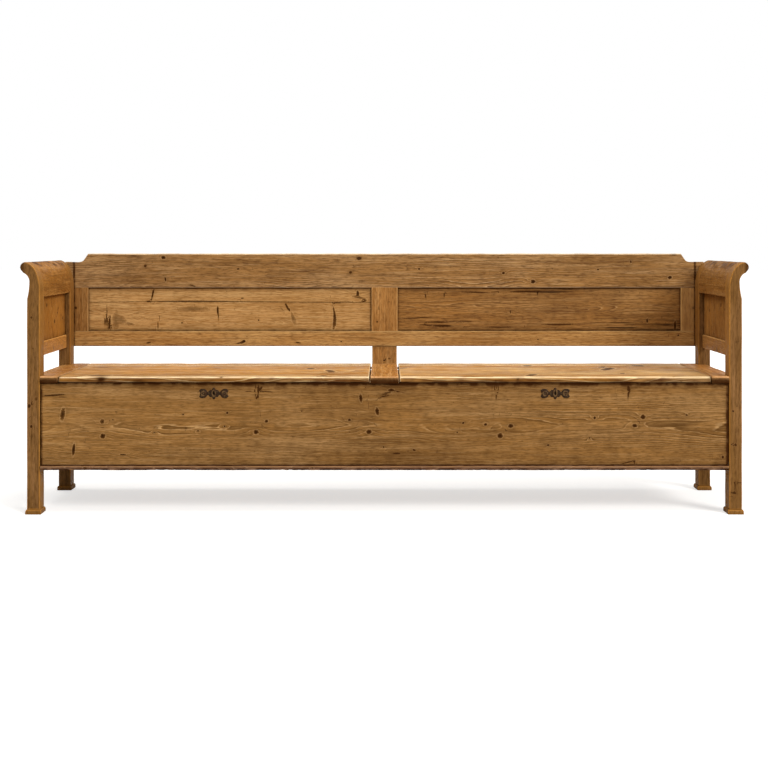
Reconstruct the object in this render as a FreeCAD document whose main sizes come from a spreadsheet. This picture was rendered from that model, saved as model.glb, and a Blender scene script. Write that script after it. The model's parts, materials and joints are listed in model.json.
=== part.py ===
"""Pull-out bench bed in pine, built piece by piece as a joiner would.

The frame stands on the floor with its origin under the middle of the bench: x to the right, y from the
front to the back, z up. Lengths are millimetres. Right-hand pieces are drawn and left-hand ones mirrored.
"""
import FreeCAD, Part
import math
import os
import re

import Sketcher

SIZES = {
    # Posts and feet
    "post_span": 2350,
    "post_wide": 42,
    "post_deep": 58,
    "post_pitch": 440,
    "foot_high": 16,
    "foot_flare": 5,
    "foot_bevel": 8,
    # Scrolled top of posts and arm rails
    "arm_top": 829,
    "scroll_drop": 125,
    "neck_drop": 72,
    "neck_in": 7.5,
    "cove_mid_drop": 45.5,
    "cove_mid_in": 0.9,
    "cove_end_drop": 34.7,
    "cove_end_out": 13.9,
    "nose_radius": 17,
    "nose_out": 22.5,
    "lean_drop": 84,
    "lean_top_drop": 42,
    "lean_in": 8.5,
    "back_mid_drop": 16.6,
    "back_mid_in": 22.3,
    # Arms
    "arm_rail_deep": 115,
    "arm_gap_high": 61,
    "low_arm_high": 47.5,
    "low_arm_thick": 18,
    "low_arm_inset": 13,
    "arm_panel_thick": 10,
    "arm_panel_inset": 17,
    "groove_deep": 8,
    "tenon_long": 28,
    "tenon_thick": 12,
    "tenon_inset": 11,
    "tenon_shoulder": 12,
    "low_tenon_shoulder": 4,
    # Back
    "back_thick": 22,
    "back_reach": 10,
    "crest_top": 853.4,
    "crest_deep": 125.4,
    "crest_shoulder": 93,
    "crest_slope": 16,
    "crest_step": 23.7,
    "crest_dip": 30.4,
    "crest_dip_out": 39,
    "crest_end_drop": 24.4,
    "crest_end_out": 68,
    "back_gap_high": 62,
    "low_rail_high": 56,
    "stile_wide": 83.4,
    "muntin_wide": 95.5,
    "back_panel_thick": 10,
    "back_panel_recess": 8,
    "back_tenon_long": 30,
    "back_tenon_thick": 8,
    "back_tenon_shoulder": 12,
    "short_post_wide": 90,
    "short_post_long": 215,
    # Box under the seat
    "box_bottom": 145,
    "end_board_thick": 18,
    "end_board_inset": 12,
    "back_board_thick": 22,
    "housing_deep": 8,
    "ledger_wide": 97,
    "ledger_thick": 22,
    "bearer_wide": 140,
    "front_clear": 2.5,
    "lip_wide": 24,
    "lip_back_clear": 6,
    # Seat
    "seat_high": 453,
    "strip_thick": 24,
    "strip_wide": 58,
    "strip_proud": 2,
    "strip_gap": 3,
    "block_wide": 92,
    "block_proud": 4,
    "block_gap": 4,
    "block_edge": 3,
    "lid_thick": 20,
    "lid_front_round": 7,
    "lid_axis_back": 80.5,
    "lid_turn_gap": 2,
    "rest_gap": 0.3,
    "pin_radius": 4,
    "pin_long": 25,
    "pin_play": 0.1,
    "batten_wide": 45,
    "batten_thick": 20,
    "batten_front": 57.5,
    "batten_back": 20,
    "batten_inset": 120,
    # Pull-out front
    "panel_thick": 22,
    "panel_recess": 2,
    "panel_side_gap": 2,
    "panel_top_gap": 0.3,
    "notch_side": 2.5,
    "moulding_high": 17,
    "moulding_proud": 5,
    "moulding_nose": 4.5,
    # Bed
    "side_thick": 18,
    "side_high": 110,
    "slat_up": 68,
    "slat_thick": 18,
    "slat_gap": 4,
    "slat_count": 23,
    "slat_slide": 0.1,
    "slat_back_clear": 13.5,
    "cross_deep": 24,
    "cross_wide": 24,
    "front_bearer_back": 67.5,
    "front_bearer_wide": 30,
    "rear_ledger_wide": 20,
    "tie_clear": 4.5,
    # Locks
    "lock_drop": 56,
    "plate_wide": 98,
    "plate_high": 29,
    "plate_thick": 2,
    "keyhole_radius": 2.5,
    "keyhole_slot": 3.5,
    "keyhole_up": 7,
    "keyhole_down": 5,
    "lock_plate_wide": 61,
    "lock_plate_high": 42,
    "lock_plate_thick": 2,
    "keeper_wide": 8,
    "keeper_wall": 2,
    "keeper_first": 46,
    "keeper_second": 14,
    "bolt_high": 10,
    "bolt_thick": 5,
    "bolt_long": 56,
    "bolt_tail": 52,
    "bolt_up": 14,
    "bolt_play": 0.1,
    "bolt_off": 3,
    "staple_out": 9,
    "staple_wide": 8,
    "staple_wall": 2,
    "staple_play": 0.6,
    # Fold-down legs
    "leg_inset": 275,
    "pivot_up": 22,
    "leg_wide": 36,
    "leg_thick": 30,
    "leg_floor_gap": 1,
    "leg_front_gap": 2.5,
    "leg_pin_radius": 4,
    "leg_pin_play": 0.1,
    "leg_pin_depth": 12,
    "leg_head_radius": 8,
    "leg_head_thick": 3,
    "leg_head_gap": 0.2,
    # Overrun of every cutting shape
    "overrun": 5,
}

# Shares of half the plate's width and height, from the top finial to the side notch
PLATE_QUARTER_SHARES = [
    (0.00, 1.34), (0.10, 1.17), (0.13, 0.86), (0.29, 0.68), (0.35, 0.24), (0.43, 0.28),
    (0.52, 0.66), (0.63, 0.95), (0.82, 1.00), (0.99, 0.79), (0.93, 0.00),
]
# Shares of the nose radius, from its centre to the lower end of its curve
NOSE_LOW_SHARES = (0.62, 0.785)

# Places across the bench
OUTER = "(post_span / 2)"
INNER = "(post_span / 2 - post_wide)"
BOARD_OUT = f"({OUTER} - end_board_inset)"
BOARD_IN = f"({BOARD_OUT} - end_board_thick)"
STRIP_IN = f"({INNER} - strip_wide)"
LID_OUT = f"({STRIP_IN} - strip_gap)"
BLOCK_OUT = "(block_wide / 2)"
LID_IN = f"({BLOCK_OUT} + block_gap)"
PANEL_OUT = f"({INNER} - panel_side_gap)"
SIDE_IN = f"({PANEL_OUT} - side_thick)"
LOCK_OUT = f"(({LID_IN} + {LID_OUT}) / 2)"
LEG_OUT = f"({OUTER} - leg_inset)"
BACK_OUT = f"({OUTER} - back_reach)"
STILE_IN = f"({BACK_OUT} - stile_wide)"

# Places from the front to the back
DEPTH = "(foot_flare + post_pitch + post_deep + back_thick)"
FRONT = f"(foot_flare - {DEPTH} / 2)"
FRONT_POST_REAR = f"({FRONT} + post_deep)"
REAR_POST_FRONT = f"({FRONT} + post_pitch)"
REAR_POST_REAR = f"({REAR_POST_FRONT} + post_deep)"
BACK = f"({REAR_POST_REAR} + back_thick)"
BOARD_FRONT = f"({REAR_POST_REAR} - back_board_thick)"
PANEL_FRONT = f"({FRONT} + panel_recess)"
PANEL_REAR = f"({PANEL_FRONT} + panel_thick)"
SEAT_FRONT = f"({FRONT} - strip_proud)"
LID_AXIS = f"({REAR_POST_REAR} - lid_axis_back)"
RAIL_FRONT = f"({LID_AXIS} + lid_thick / 2 + lid_turn_gap)"
BEARER_FRONT = f"({FRONT} + front_bearer_back)"
BEARER_REAR = f"({BEARER_FRONT} + front_bearer_wide)"
REAR_LEDGER_FRONT = f"({BOARD_FRONT} - rear_ledger_wide)"
TIE_REAR = f"({REAR_LEDGER_FRONT} - tie_clear)"
SLAT_REAR = f"({BOARD_FRONT} - slat_back_clear)"

# Heights
FIXED_UNDER = "(seat_high - strip_thick)"
LID_UNDER = "(seat_high - lid_thick)"
LIP_TOP = f"({LID_UNDER} - rest_gap)"
PANEL_TOP = f"({LID_UNDER} - panel_top_gap)"
NOTCH_FLOOR = f"({FIXED_UNDER} - panel_top_gap)"
LOW_ARM_BOTTOM = "(seat_high + arm_gap_high)"
LOW_ARM_TOP = f"({LOW_ARM_BOTTOM} + low_arm_high)"
ARM_RAIL_BOTTOM = "(arm_top - arm_rail_deep)"
LOW_RAIL_BOTTOM = "(seat_high + back_gap_high)"
LOW_RAIL_TOP = f"({LOW_RAIL_BOTTOM} + low_rail_high)"
CREST_BOTTOM = "(crest_top - crest_deep)"
PANEL_BOTTOM = "(box_bottom + moulding_high)"
SLAT_SEAT = f"({PANEL_BOTTOM} + slat_up)"
SLIDE = f"({SLAT_SEAT} + slat_slide)"
LOCK_HIGH = "(seat_high - lock_drop)"
BOLT_BOTTOM = f"({LOCK_HIGH} + bolt_up - bolt_high / 2)"
BOLT_TOP = f"({BOLT_BOTTOM} + bolt_high)"
PIVOT_HIGH = f"({PANEL_BOTTOM} + pivot_up)"

# How far a rounded corner stands in from the square one, as a share of its radius
ROUND_SHARE = 0.293
QUARTER_TURN = 90

doc = FreeCAD.newDocument("bench_bed")
sheet = doc.addObject("Spreadsheet::Sheet", "sizes")
for row, (alias, size) in enumerate(SIZES.items(), 1):
    sheet.set(f"A{row}", alias)
    sheet.set(f"B{row}", str(size))
    sheet.setAlias(f"B{row}", alias)
doc.recompute()
parts = []


def bound(text):
    """The same expression with the sheet's name before each alias."""
    return re.sub(r"[a-z_]{2,}", lambda word: "sizes." + word.group(), text)


def value(text):
    """What an expression gives now."""
    return float(sheet.evalExpression(bound(text)))


def keep(label, item):
    """Count an object as a finished piece of the bench under its own label."""
    item.Label = label
    parts.append(item)
    return item


def board(name, x, y, z):
    """A squared board between a low and a high place along each axis."""
    item = doc.addObject("Part::Box", name)
    for side, axis, (low, high) in zip(("Length", "Width", "Height"), "xyz", (x, y, z)):
        item.setExpression(side, bound(f"{high} - ({low})"))
        item.setExpression(f"Placement.Base.{axis}", bound(low))
    return item


def rod(name, along, start, length, radius):
    """A round bar that runs along x or y from its start point."""
    item = doc.addObject("Part::Cylinder", name)
    turns = {"x": (FreeCAD.Vector(0, 1, 0), QUARTER_TURN), "y": (FreeCAD.Vector(1, 0, 0), -QUARTER_TURN)}
    item.Placement = FreeCAD.Placement(FreeCAD.Vector(), FreeCAD.Rotation(*turns[along]))
    for axis, place in zip("xyz", start):
        item.setExpression(f"Placement.Base.{axis}", bound(place))
    item.setExpression("Height", bound(length))
    item.setExpression("Radius", bound(radius))
    return item


def join(name, *pieces):
    """One solid made of touching pieces."""
    item = doc.addObject("Part::MultiFuse", name)
    item.Shapes = list(pieces)
    item.Refine = True
    return item


def group(name, *pieces):
    """Separate solids under one name."""
    item = doc.addObject("Part::Compound", name)
    item.Links = list(pieces)
    return item


def cut(name, base, *tools):
    """A piece with the space of each tool taken out."""
    item = doc.addObject("Part::Cut", name)
    item.Base = base
    item.Tool = tools[0] if len(tools) == 1 else group(name + "_cuts", *tools)
    return item


def mirror(name, source):
    """The left-hand twin of a right-hand piece."""
    item = doc.addObject("Part::Mirroring", name)
    item.Source = source
    item.Normal = (1, 0, 0)
    return item


def both_sides(name, source):
    """Keep a right-hand piece and its left-hand twin."""
    keep(name + "_right", source)
    return keep(name + "_left", mirror(name + "_left", source))


def arc_edge(start, middle, end):
    """An arc through three points, and which of its two ends is the start."""
    circle = Part.Circle(start, middle, end)
    turn = (middle - start).cross(end - middle).z
    first, last = (start, end) if turn > 0 else (end, start)
    angles = [math.atan2(*reversed(list(point - circle.Center)[:2])) for point in (first, last)]
    upright = Part.Circle(circle.Center, FreeCAD.Vector(0, 0, 1), circle.Radius)
    return Part.ArcOfCircle(upright, *angles), 1 if turn > 0 else 2


def pin_point(sketch, geometry, position, place):
    """Hold a sketch point at a place given by two expressions."""
    for kind, text in zip(("DistanceX", "DistanceY"), place):
        index = sketch.addConstraint(Sketcher.Constraint(kind, geometry, position, value(text)))
        sketch.setExpression(f"Constraints[{index}]", bound(text))


def moulded(name, along, outline, start, length):
    """A piece of one outline all along its length.

    Each corner of the outline is (u, v). A corner (u, v, mid_u, mid_v) is reached by an arc through the
    middle point. The last corner closes on the first.
    """
    body = doc.addObject("PartDesign::Body", name)
    sketch = body.newObject("Sketcher::SketchObject", name + "_outline")
    role = {"x": "YZ_Plane", "y": "XZ_Plane"}[along]
    plane = next(item for item in body.Origin.OriginFeatures if item.Role == role)
    sketch.AttachmentSupport = [(plane, "")]
    sketch.MapMode = "FlatFace"
    corners = [FreeCAD.Vector(value(corner[0]), value(corner[1]), 0) for corner in outline]
    edges = []
    for index, corner in enumerate(outline):
        before = corners[index - 1]
        if len(corner) == 2:
            line = Part.LineSegment(before, corners[index])
            edges.append((sketch.addGeometry(line, False), 1, 2))
        else:
            middle = FreeCAD.Vector(value(corner[2]), value(corner[3]), 0)
            arc, begin = arc_edge(before, middle, corners[index])
            edge = sketch.addGeometry(arc, False)
            mark = sketch.addGeometry(Part.Point(middle), True)
            pin_point(sketch, mark, 1, corner[2:])
            sketch.addConstraint(Sketcher.Constraint("PointOnObject", mark, 1, edge))
            edges.append((edge, begin, 3 - begin))
    for index, (edge, begin, finish) in enumerate(edges):
        last_edge, _, last_finish = edges[index - 1]
        sketch.addConstraint(Sketcher.Constraint("Coincident", last_edge, last_finish, edge, begin))
        pin_point(sketch, edge, finish, outline[index][:2])
    pad = body.newObject("PartDesign::Pad", name + "_length")
    pad.Profile = sketch
    pad.Reversed = along == "y"
    pad.setExpression("Length", bound(length))
    body.setExpression(f"Placement.Base.{along}", bound(start))
    body.Tip = pad
    return body


def scroll_outline(low, outer_low):
    """The front view of a post or arm rail: straight sides that lean out into a rolled nose."""
    nose_x = f"({OUTER} + nose_out - nose_radius)"
    nose_z = "(arm_top - nose_radius)"
    share_x, share_z = NOSE_LOW_SHARES
    return [
        (INNER, low),
        *outer_low,
        (f"{OUTER} - neck_in", "arm_top - neck_drop"),
        (f"{OUTER} + cove_end_out", "arm_top - cove_end_drop",
         f"{OUTER} - cove_mid_in", "arm_top - cove_mid_drop"),
        (f"{nose_x} + nose_radius * {share_x}", f"{nose_z} - nose_radius * {share_z}"),
        (nose_x, "arm_top", f"{nose_x} + nose_radius", nose_z),
        (f"{INNER} + lean_in", "arm_top - lean_top_drop",
         f"{INNER} + back_mid_in", "arm_top - back_mid_drop"),
        (INNER, "arm_top - lean_drop"),
    ]


def make_arms():
    """Arm rail, panel and lower rail of one side, and the shapes that they take out of the posts."""
    between = (FRONT_POST_REAR, REAR_POST_FRONT)
    lean = "(scroll_drop - arm_rail_deep) / (scroll_drop - neck_drop)"
    outline = scroll_outline(ARM_RAIL_BOTTOM, [(f"{OUTER} - neck_in * {lean}", ARM_RAIL_BOTTOM)])
    rail = moulded("arm_rail_blank", "y", outline, between[0], f"{between[1]} - {between[0]}")
    panel_x = (f"{INNER} + arm_panel_inset", f"{INNER} + arm_panel_inset + arm_panel_thick")
    panel = board(
        "arm_panel", panel_x,
        (f"{between[0]} - groove_deep", f"{between[1]} + groove_deep"),
        (f"{LOW_ARM_TOP} - groove_deep", f"{ARM_RAIL_BOTTOM} + groove_deep"))
    low_x = (f"{INNER} + low_arm_inset", f"{INNER} + low_arm_inset + low_arm_thick")
    low_rail = board("low_arm_blank", low_x, between, (LOW_ARM_BOTTOM, LOW_ARM_TOP))
    tenon_y = (f"{between[0]} - tenon_long", f"{between[1]} + tenon_long")
    tenon_x = (f"{INNER} + tenon_inset", f"{INNER} + tenon_inset + tenon_thick")
    tenon = board(
        "arm_tenons", tenon_x, tenon_y,
        (f"{ARM_RAIL_BOTTOM} + groove_deep + tenon_shoulder", "arm_top - lean_top_drop"))
    low_tenon_x = (f"{low_x[0]} + low_tenon_shoulder", f"{low_x[0]} + low_tenon_shoulder + tenon_thick")
    low_tenon = board(
        "low_arm_tenons", low_tenon_x, tenon_y,
        (f"{LOW_ARM_BOTTOM} + low_tenon_shoulder", f"{LOW_ARM_TOP} - groove_deep - low_tenon_shoulder"))
    both_sides("arm_rail", cut("arm_rail", join("arm_rail_tenoned", rail, tenon), panel))
    both_sides("arm_panel", panel)
    both_sides("arm_lower_rail", cut("arm_lower_rail", join("low_arm_tenoned", low_rail, low_tenon), panel))
    return [tenon, low_tenon, panel]


def make_box():
    """End boards, back board and the ledgers and bearer that carry the seat."""
    end_board = board(
        "end_board", (BOARD_IN, BOARD_OUT),
        (f"{FRONT_POST_REAR} - housing_deep", f"{REAR_POST_FRONT} + housing_deep"),
        (PANEL_BOTTOM, FIXED_UNDER))
    both_sides("end_board", end_board)
    back_board = keep("back_board", board(
        "back_board", (f"-{INNER} - housing_deep", f"{INNER} + housing_deep"),
        (BOARD_FRONT, REAR_POST_REAR), ("box_bottom", FIXED_UNDER)))
    lip_rear = f"({RAIL_FRONT} - lip_back_clear)"
    ledger = join(
        "end_ledger",
        board("end_ledger_board", (f"{BOARD_IN} - ledger_wide", BOARD_IN),
              (FRONT_POST_REAR, REAR_POST_FRONT), (f"{FIXED_UNDER} - ledger_thick", FIXED_UNDER)),
        board("end_ledger_lip", (f"{LID_OUT} - lip_wide", LID_OUT),
              (FRONT_POST_REAR, lip_rear), (FIXED_UNDER, LIP_TOP)))
    keep("end_ledgers", group("end_ledgers", ledger, mirror("end_ledger_left", ledger)))
    bearer_front = f"({PANEL_REAR} + front_clear)"
    lip = board("bearer_lip", (LID_IN, "bearer_wide / 2"), (bearer_front, lip_rear), (FIXED_UNDER, LIP_TOP))
    keep("centre_bearer", join(
        "centre_bearer",
        board("bearer_board", ("-bearer_wide / 2", "bearer_wide / 2"), (bearer_front, BOARD_FRONT),
              (f"{FIXED_UNDER} - ledger_thick", FIXED_UNDER)),
        lip, mirror("bearer_lip_left", lip)))
    return [end_board, back_board]


def make_posts(cuts):
    """Front and rear posts with their feet."""
    outer_low = [(OUTER, "foot_high"), (OUTER, "arm_top - scroll_drop")]
    for place, start in (("front", FRONT), ("rear", REAR_POST_FRONT)):
        blank = moulded(f"post_{place}_blank", "y", scroll_outline("foot_high", outer_low), start, "post_deep")
        both_sides(f"post_{place}", cut(f"post_{place}", blank, *cuts))
        block = board(
            f"foot_{place}_block", (f"{INNER} - foot_flare", f"{OUTER} + foot_flare"),
            (f"{start} - foot_flare", f"{start} + post_deep + foot_flare"), ("0", "foot_high - foot_bevel"))
        bevel = doc.addObject("Part::Wedge", f"foot_{place}_bevel")
        for letter, size in (("X", "post_wide"), ("Z", "post_deep")):
            bevel.setExpression(f"{letter}min", bound(f"-{size} / 2 - foot_flare"))
            bevel.setExpression(f"{letter}max", bound(f"{size} / 2 + foot_flare"))
            bevel.setExpression(f"{letter}2min", bound(f"-{size} / 2"))
            bevel.setExpression(f"{letter}2max", bound(f"{size} / 2"))
        bevel.Ymin = 0
        bevel.setExpression("Ymax", bound("foot_bevel"))
        upright = FreeCAD.Rotation(FreeCAD.Vector(1, 0, 0), QUARTER_TURN)
        bevel.Placement = FreeCAD.Placement(FreeCAD.Vector(), upright)
        bevel.setExpression("Placement.Base.x", bound(f"({INNER} + {OUTER}) / 2"))
        bevel.setExpression("Placement.Base.y", bound(f"{start} + post_deep / 2"))
        bevel.setExpression("Placement.Base.z", bound("foot_high - foot_bevel"))
        both_sides(f"foot_{place}", join(f"foot_{place}", block, bevel))


def make_back():
    """The framed back with its stepped crest, stiles, muntin and panels, and the short centre post."""
    depth = (REAR_POST_REAR, BACK)
    half = [
        (BACK_OUT, CREST_BOTTOM),
        (BACK_OUT, "crest_top - crest_end_drop"),
        (f"{OUTER} - crest_shoulder + crest_end_out", "crest_top - crest_end_drop"),
        (f"{OUTER} - crest_shoulder + crest_slope", "crest_top - crest_step",
         f"{OUTER} - crest_shoulder + crest_dip_out", "crest_top - crest_dip"),
        (f"{OUTER} - crest_shoulder", "crest_top"),
    ]
    left = [(f"-({corner[0]})", corner[1]) for corner in reversed(half)]
    arc_corner = half[3]
    left[2] = (*left[2], f"-({arc_corner[2]})", arc_corner[3])
    crest = moulded("crest_blank", "y", half + left, depth[0], "back_thick")
    low_rail = board("low_rail_blank", (f"-{BACK_OUT}", BACK_OUT), depth, (LOW_RAIL_BOTTOM, LOW_RAIL_TOP))
    upright_z = (LOW_RAIL_TOP, CREST_BOTTOM)
    stile = board("stile_blank", (STILE_IN, BACK_OUT), depth, upright_z)
    muntin = board("muntin_blank", ("-muntin_wide / 2", "muntin_wide / 2"), depth, upright_z)
    panel_y = (f"{REAR_POST_REAR} + back_panel_recess",
               f"{REAR_POST_REAR} + back_panel_recess + back_panel_thick")
    panel = board(
        "back_panel", ("muntin_wide / 2 - groove_deep", f"{STILE_IN} + groove_deep"), panel_y,
        (f"{LOW_RAIL_TOP} - groove_deep", f"{CREST_BOTTOM} + groove_deep"))
    panel_left = both_sides("back_panel", panel)
    middle = f"({REAR_POST_REAR} + back_thick / 2 - back_tenon_thick / 2)"
    tenon_y = (middle, f"{middle} + back_tenon_thick")
    tenon_z = (f"{LOW_RAIL_TOP} - back_tenon_long", f"{CREST_BOTTOM} + back_tenon_long")
    stile_tenon = board(
        "stile_tenon", (f"{STILE_IN} + groove_deep + back_tenon_shoulder", f"{BACK_OUT} - back_tenon_shoulder"),
        tenon_y, tenon_z)
    muntin_tenon = board(
        "muntin_tenon", ("-muntin_wide / 2 + groove_deep + back_tenon_shoulder",
                         "muntin_wide / 2 - groove_deep - back_tenon_shoulder"), tenon_y, tenon_z)
    stile_tenon_left = mirror("stile_tenon_left", stile_tenon)
    spaces = [panel, panel_left, stile_tenon, stile_tenon_left, muntin_tenon]
    keep("crest_rail", cut("crest_rail", crest, *spaces))
    keep("back_lower_rail", cut("back_lower_rail", low_rail, *spaces))
    both_sides("back_stile", cut("back_stile", join("stile_tenoned", stile, stile_tenon), panel))
    keep("back_muntin", cut("back_muntin", join("muntin_tenoned", muntin, muntin_tenon), panel, panel_left))
    keep("centre_post", board(
        "centre_post", ("-short_post_wide / 2", "short_post_wide / 2"), depth,
        (f"{LOW_RAIL_BOTTOM} - short_post_long", LOW_RAIL_BOTTOM)))


def make_seat():
    """End strips, centre block, rear rails, the two lids with their battens, and the lids' pins."""
    strip = board(
        "end_strip_blank", (STRIP_IN, BOARD_OUT), (SEAT_FRONT, REAR_POST_REAR), (FIXED_UNDER, "seat_high"))
    notch_x = (INNER, f"{BOARD_OUT} + overrun")
    notch_z = (f"{FIXED_UNDER} - overrun", "seat_high + overrun")
    front_notch = board("strip_front_notch", notch_x, (f"{SEAT_FRONT} - overrun", FRONT_POST_REAR), notch_z)
    rear_notch = board(
        "strip_rear_notch", notch_x, (REAR_POST_FRONT, f"{REAR_POST_REAR} + overrun"), notch_z)
    axis_z = "seat_high - lid_thick / 2"
    outer_pin = rod("outer_pin", "x", (f"{LID_OUT} - pin_long", LID_AXIS, axis_z),
                    "pin_long * 2 + strip_gap", "pin_radius")
    inner_pin = rod("inner_pin", "x", (f"{BLOCK_OUT} - pin_long", LID_AXIS, axis_z),
                    "pin_long * 2 + block_gap", "pin_radius")
    both_sides("seat_end_strip", cut("seat_end_strip", strip, front_notch, rear_notch, outer_pin))
    inner_pin_left = mirror("inner_pin_left", inner_pin)
    keep("lid_pins", group(
        "lid_pins", outer_pin, inner_pin, mirror("outer_pin_left", outer_pin), inner_pin_left))
    side, edge = BLOCK_OUT, "block_edge"
    block = moulded("centre_block_blank", "y", [
        (f"-{side}", FIXED_UNDER),
        (side, FIXED_UNDER),
        (side, f"seat_high - {edge}"),
        (f"{side} - {edge}", "seat_high",
         f"{side} - {edge} * {ROUND_SHARE}", f"seat_high - {edge} * {ROUND_SHARE}"),
        (f"-{side} + {edge}", "seat_high"),
        (f"-{side}", f"seat_high - {edge}",
         f"-{side} + {edge} * {ROUND_SHARE}", f"seat_high - {edge} * {ROUND_SHARE}"),
    ], f"{FRONT} - block_proud", f"{REAR_POST_REAR} - ({FRONT} - block_proud)")
    keep("centre_seat_block", cut("centre_seat_block", block, inner_pin, inner_pin_left))
    both_sides("rear_seat_rail", board(
        "rear_seat_rail", (LID_IN, LID_OUT), (RAIL_FRONT, REAR_POST_REAR), (FIXED_UNDER, "seat_high")))
    front_round = "lid_front_round"
    blank = moulded("lid_blank", "x", [
        (LID_AXIS, LID_UNDER),
        (LID_AXIS, "seat_high", f"{LID_AXIS} + lid_thick / 2", axis_z),
        (f"{SEAT_FRONT} + {front_round}", "seat_high"),
        (SEAT_FRONT, f"seat_high - {front_round}",
         f"{SEAT_FRONT} + {front_round} * {ROUND_SHARE}", f"seat_high - {front_round} * {ROUND_SHARE}"),
        (SEAT_FRONT, LID_UNDER),
    ], LID_IN, f"{LID_OUT} - {LID_IN}")
    bore = "pin_long + pin_play + overrun"
    outer_bore = rod("lid_outer_bore", "x", (f"{LID_OUT} - pin_long - pin_play", LID_AXIS, axis_z),
                     bore, "pin_radius + pin_play")
    inner_bore = rod("lid_inner_bore", "x", (f"{LID_IN} - overrun", LID_AXIS, axis_z),
                     bore, "pin_radius + pin_play")
    both_sides("seat_lid", cut("seat_lid", blank, outer_bore, inner_bore))
    battens = []
    for place, low in (("inner", f"{LID_IN} + batten_inset"),
                       ("outer", f"{LID_OUT} - batten_inset - batten_wide")):
        battens.append(board(
            f"lid_batten_{place}", (low, f"{low} + batten_wide"),
            (f"{FRONT} + batten_front", f"{LID_AXIS} - batten_back"),
            (f"{LID_UNDER} - batten_thick", LID_UNDER)))
    both_sides("lid_battens", group("lid_battens", *battens))


def keyhole(name, front, rear):
    """A keyhole cut from front to rear: a round top over a narrower slot."""
    length = f"{rear} - ({front})"
    eye = rod(name + "_eye", "y", (LOCK_OUT, front, f"{LOCK_HIGH} + keyhole_up - keyhole_radius"),
              length, "keyhole_radius")
    slot = board(name + "_slot", (f"{LOCK_OUT} - keyhole_slot / 2", f"{LOCK_OUT} + keyhole_slot / 2"),
                 (front, rear), (f"{LOCK_HIGH} - keyhole_down", f"{LOCK_HIGH} + keyhole_up - keyhole_radius"))
    return join(name, eye, slot)


def make_locks():
    """Escutcheon, lock plate with its keepers, bolt and staple of each side; returns the keyhole."""
    hole = keyhole("keyhole", f"{PANEL_FRONT} - plate_thick - overrun",
                   f"{PANEL_REAR} + lock_plate_thick + overrun")
    quarter = PLATE_QUARTER_SHARES
    turns = [(1, 1, quarter[:-1]), (1, -1, quarter[:0:-1]), (-1, -1, quarter[:-1]), (-1, 1, quarter[:0:-1])]
    outline = [
        (f"{LOCK_OUT} + {across * share_x} * plate_wide / 2", f"{LOCK_HIGH} + {up * share_z} * plate_high / 2")
        for across, up, corners in turns for share_x, share_z in corners]
    plate = cut("escutcheon", moulded(
        "escutcheon_blank", "y", outline[::-1], f"{PANEL_FRONT} - plate_thick", "plate_thick"), hole)
    keep("escutcheons", group("escutcheons", plate, mirror("escutcheon_left", plate)))
    lock_front = PANEL_REAR
    lock_rear = f"({PANEL_REAR} + lock_plate_thick)"
    bolt_front = f"({lock_rear} + bolt_off)"
    bolt_rear = f"({bolt_front} + bolt_thick)"
    back_plate = board(
        "lock_plate_board", (f"{LOCK_OUT} - keeper_first - keeper_wide", f"{LOCK_OUT} - keeper_first - keeper_wide"
                             " + lock_plate_wide"),
        (lock_front, lock_rear), (f"{LOCK_HIGH} - lock_plate_high / 2", f"{LOCK_HIGH} + lock_plate_high / 2"))
    channel = board(
        "keeper_channel", (f"{LOCK_OUT} - lock_plate_wide", f"{LOCK_OUT} + lock_plate_wide"),
        (f"{bolt_front} - bolt_play", f"{bolt_rear} + bolt_play"),
        (f"{BOLT_BOTTOM} - bolt_play", f"{BOLT_TOP} + bolt_play"))
    keepers = []
    for place in ("first", "second"):
        low = f"{LOCK_OUT} - keeper_{place}"
        keepers.append(board(
            f"keeper_{place}_block", (low, f"{low} + keeper_wide"),
            (lock_rear, f"{bolt_rear} + bolt_play + keeper_wall"),
            (f"{BOLT_BOTTOM} - bolt_play - keeper_wall", f"{BOLT_TOP} + bolt_play + keeper_wall")))
    both_sides("lock_plate", cut("lock_plate", join("lock_plate_blank", back_plate, *keepers), channel, hole))
    both_sides("lock_bolt", board(
        "lock_bolt", (f"{LOCK_OUT} - bolt_tail", f"{LOCK_OUT} - bolt_tail + bolt_long"),
        (bolt_front, bolt_rear), (BOLT_BOTTOM, BOLT_TOP)))
    staple_x = (f"{LOCK_OUT} + staple_out", f"{LOCK_OUT} + staple_out + staple_wide")
    eye_y = (f"{bolt_front} - staple_play", f"{bolt_rear} + staple_play")
    eye_z = (f"{BOLT_BOTTOM} - staple_play", f"{BOLT_TOP} + staple_play")
    staple = board(
        "staple_block", staple_x, (f"{eye_y[0]} - staple_wall", f"{eye_y[1]} + staple_wall"),
        (f"{eye_z[0]} - staple_wall", LID_UNDER))
    eye = board(
        "staple_eye", (f"{staple_x[0]} - overrun", f"{staple_x[1]} + overrun"), eye_y, eye_z)
    both_sides("lid_staple", cut("lid_staple", staple, eye))
    return hole


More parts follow.
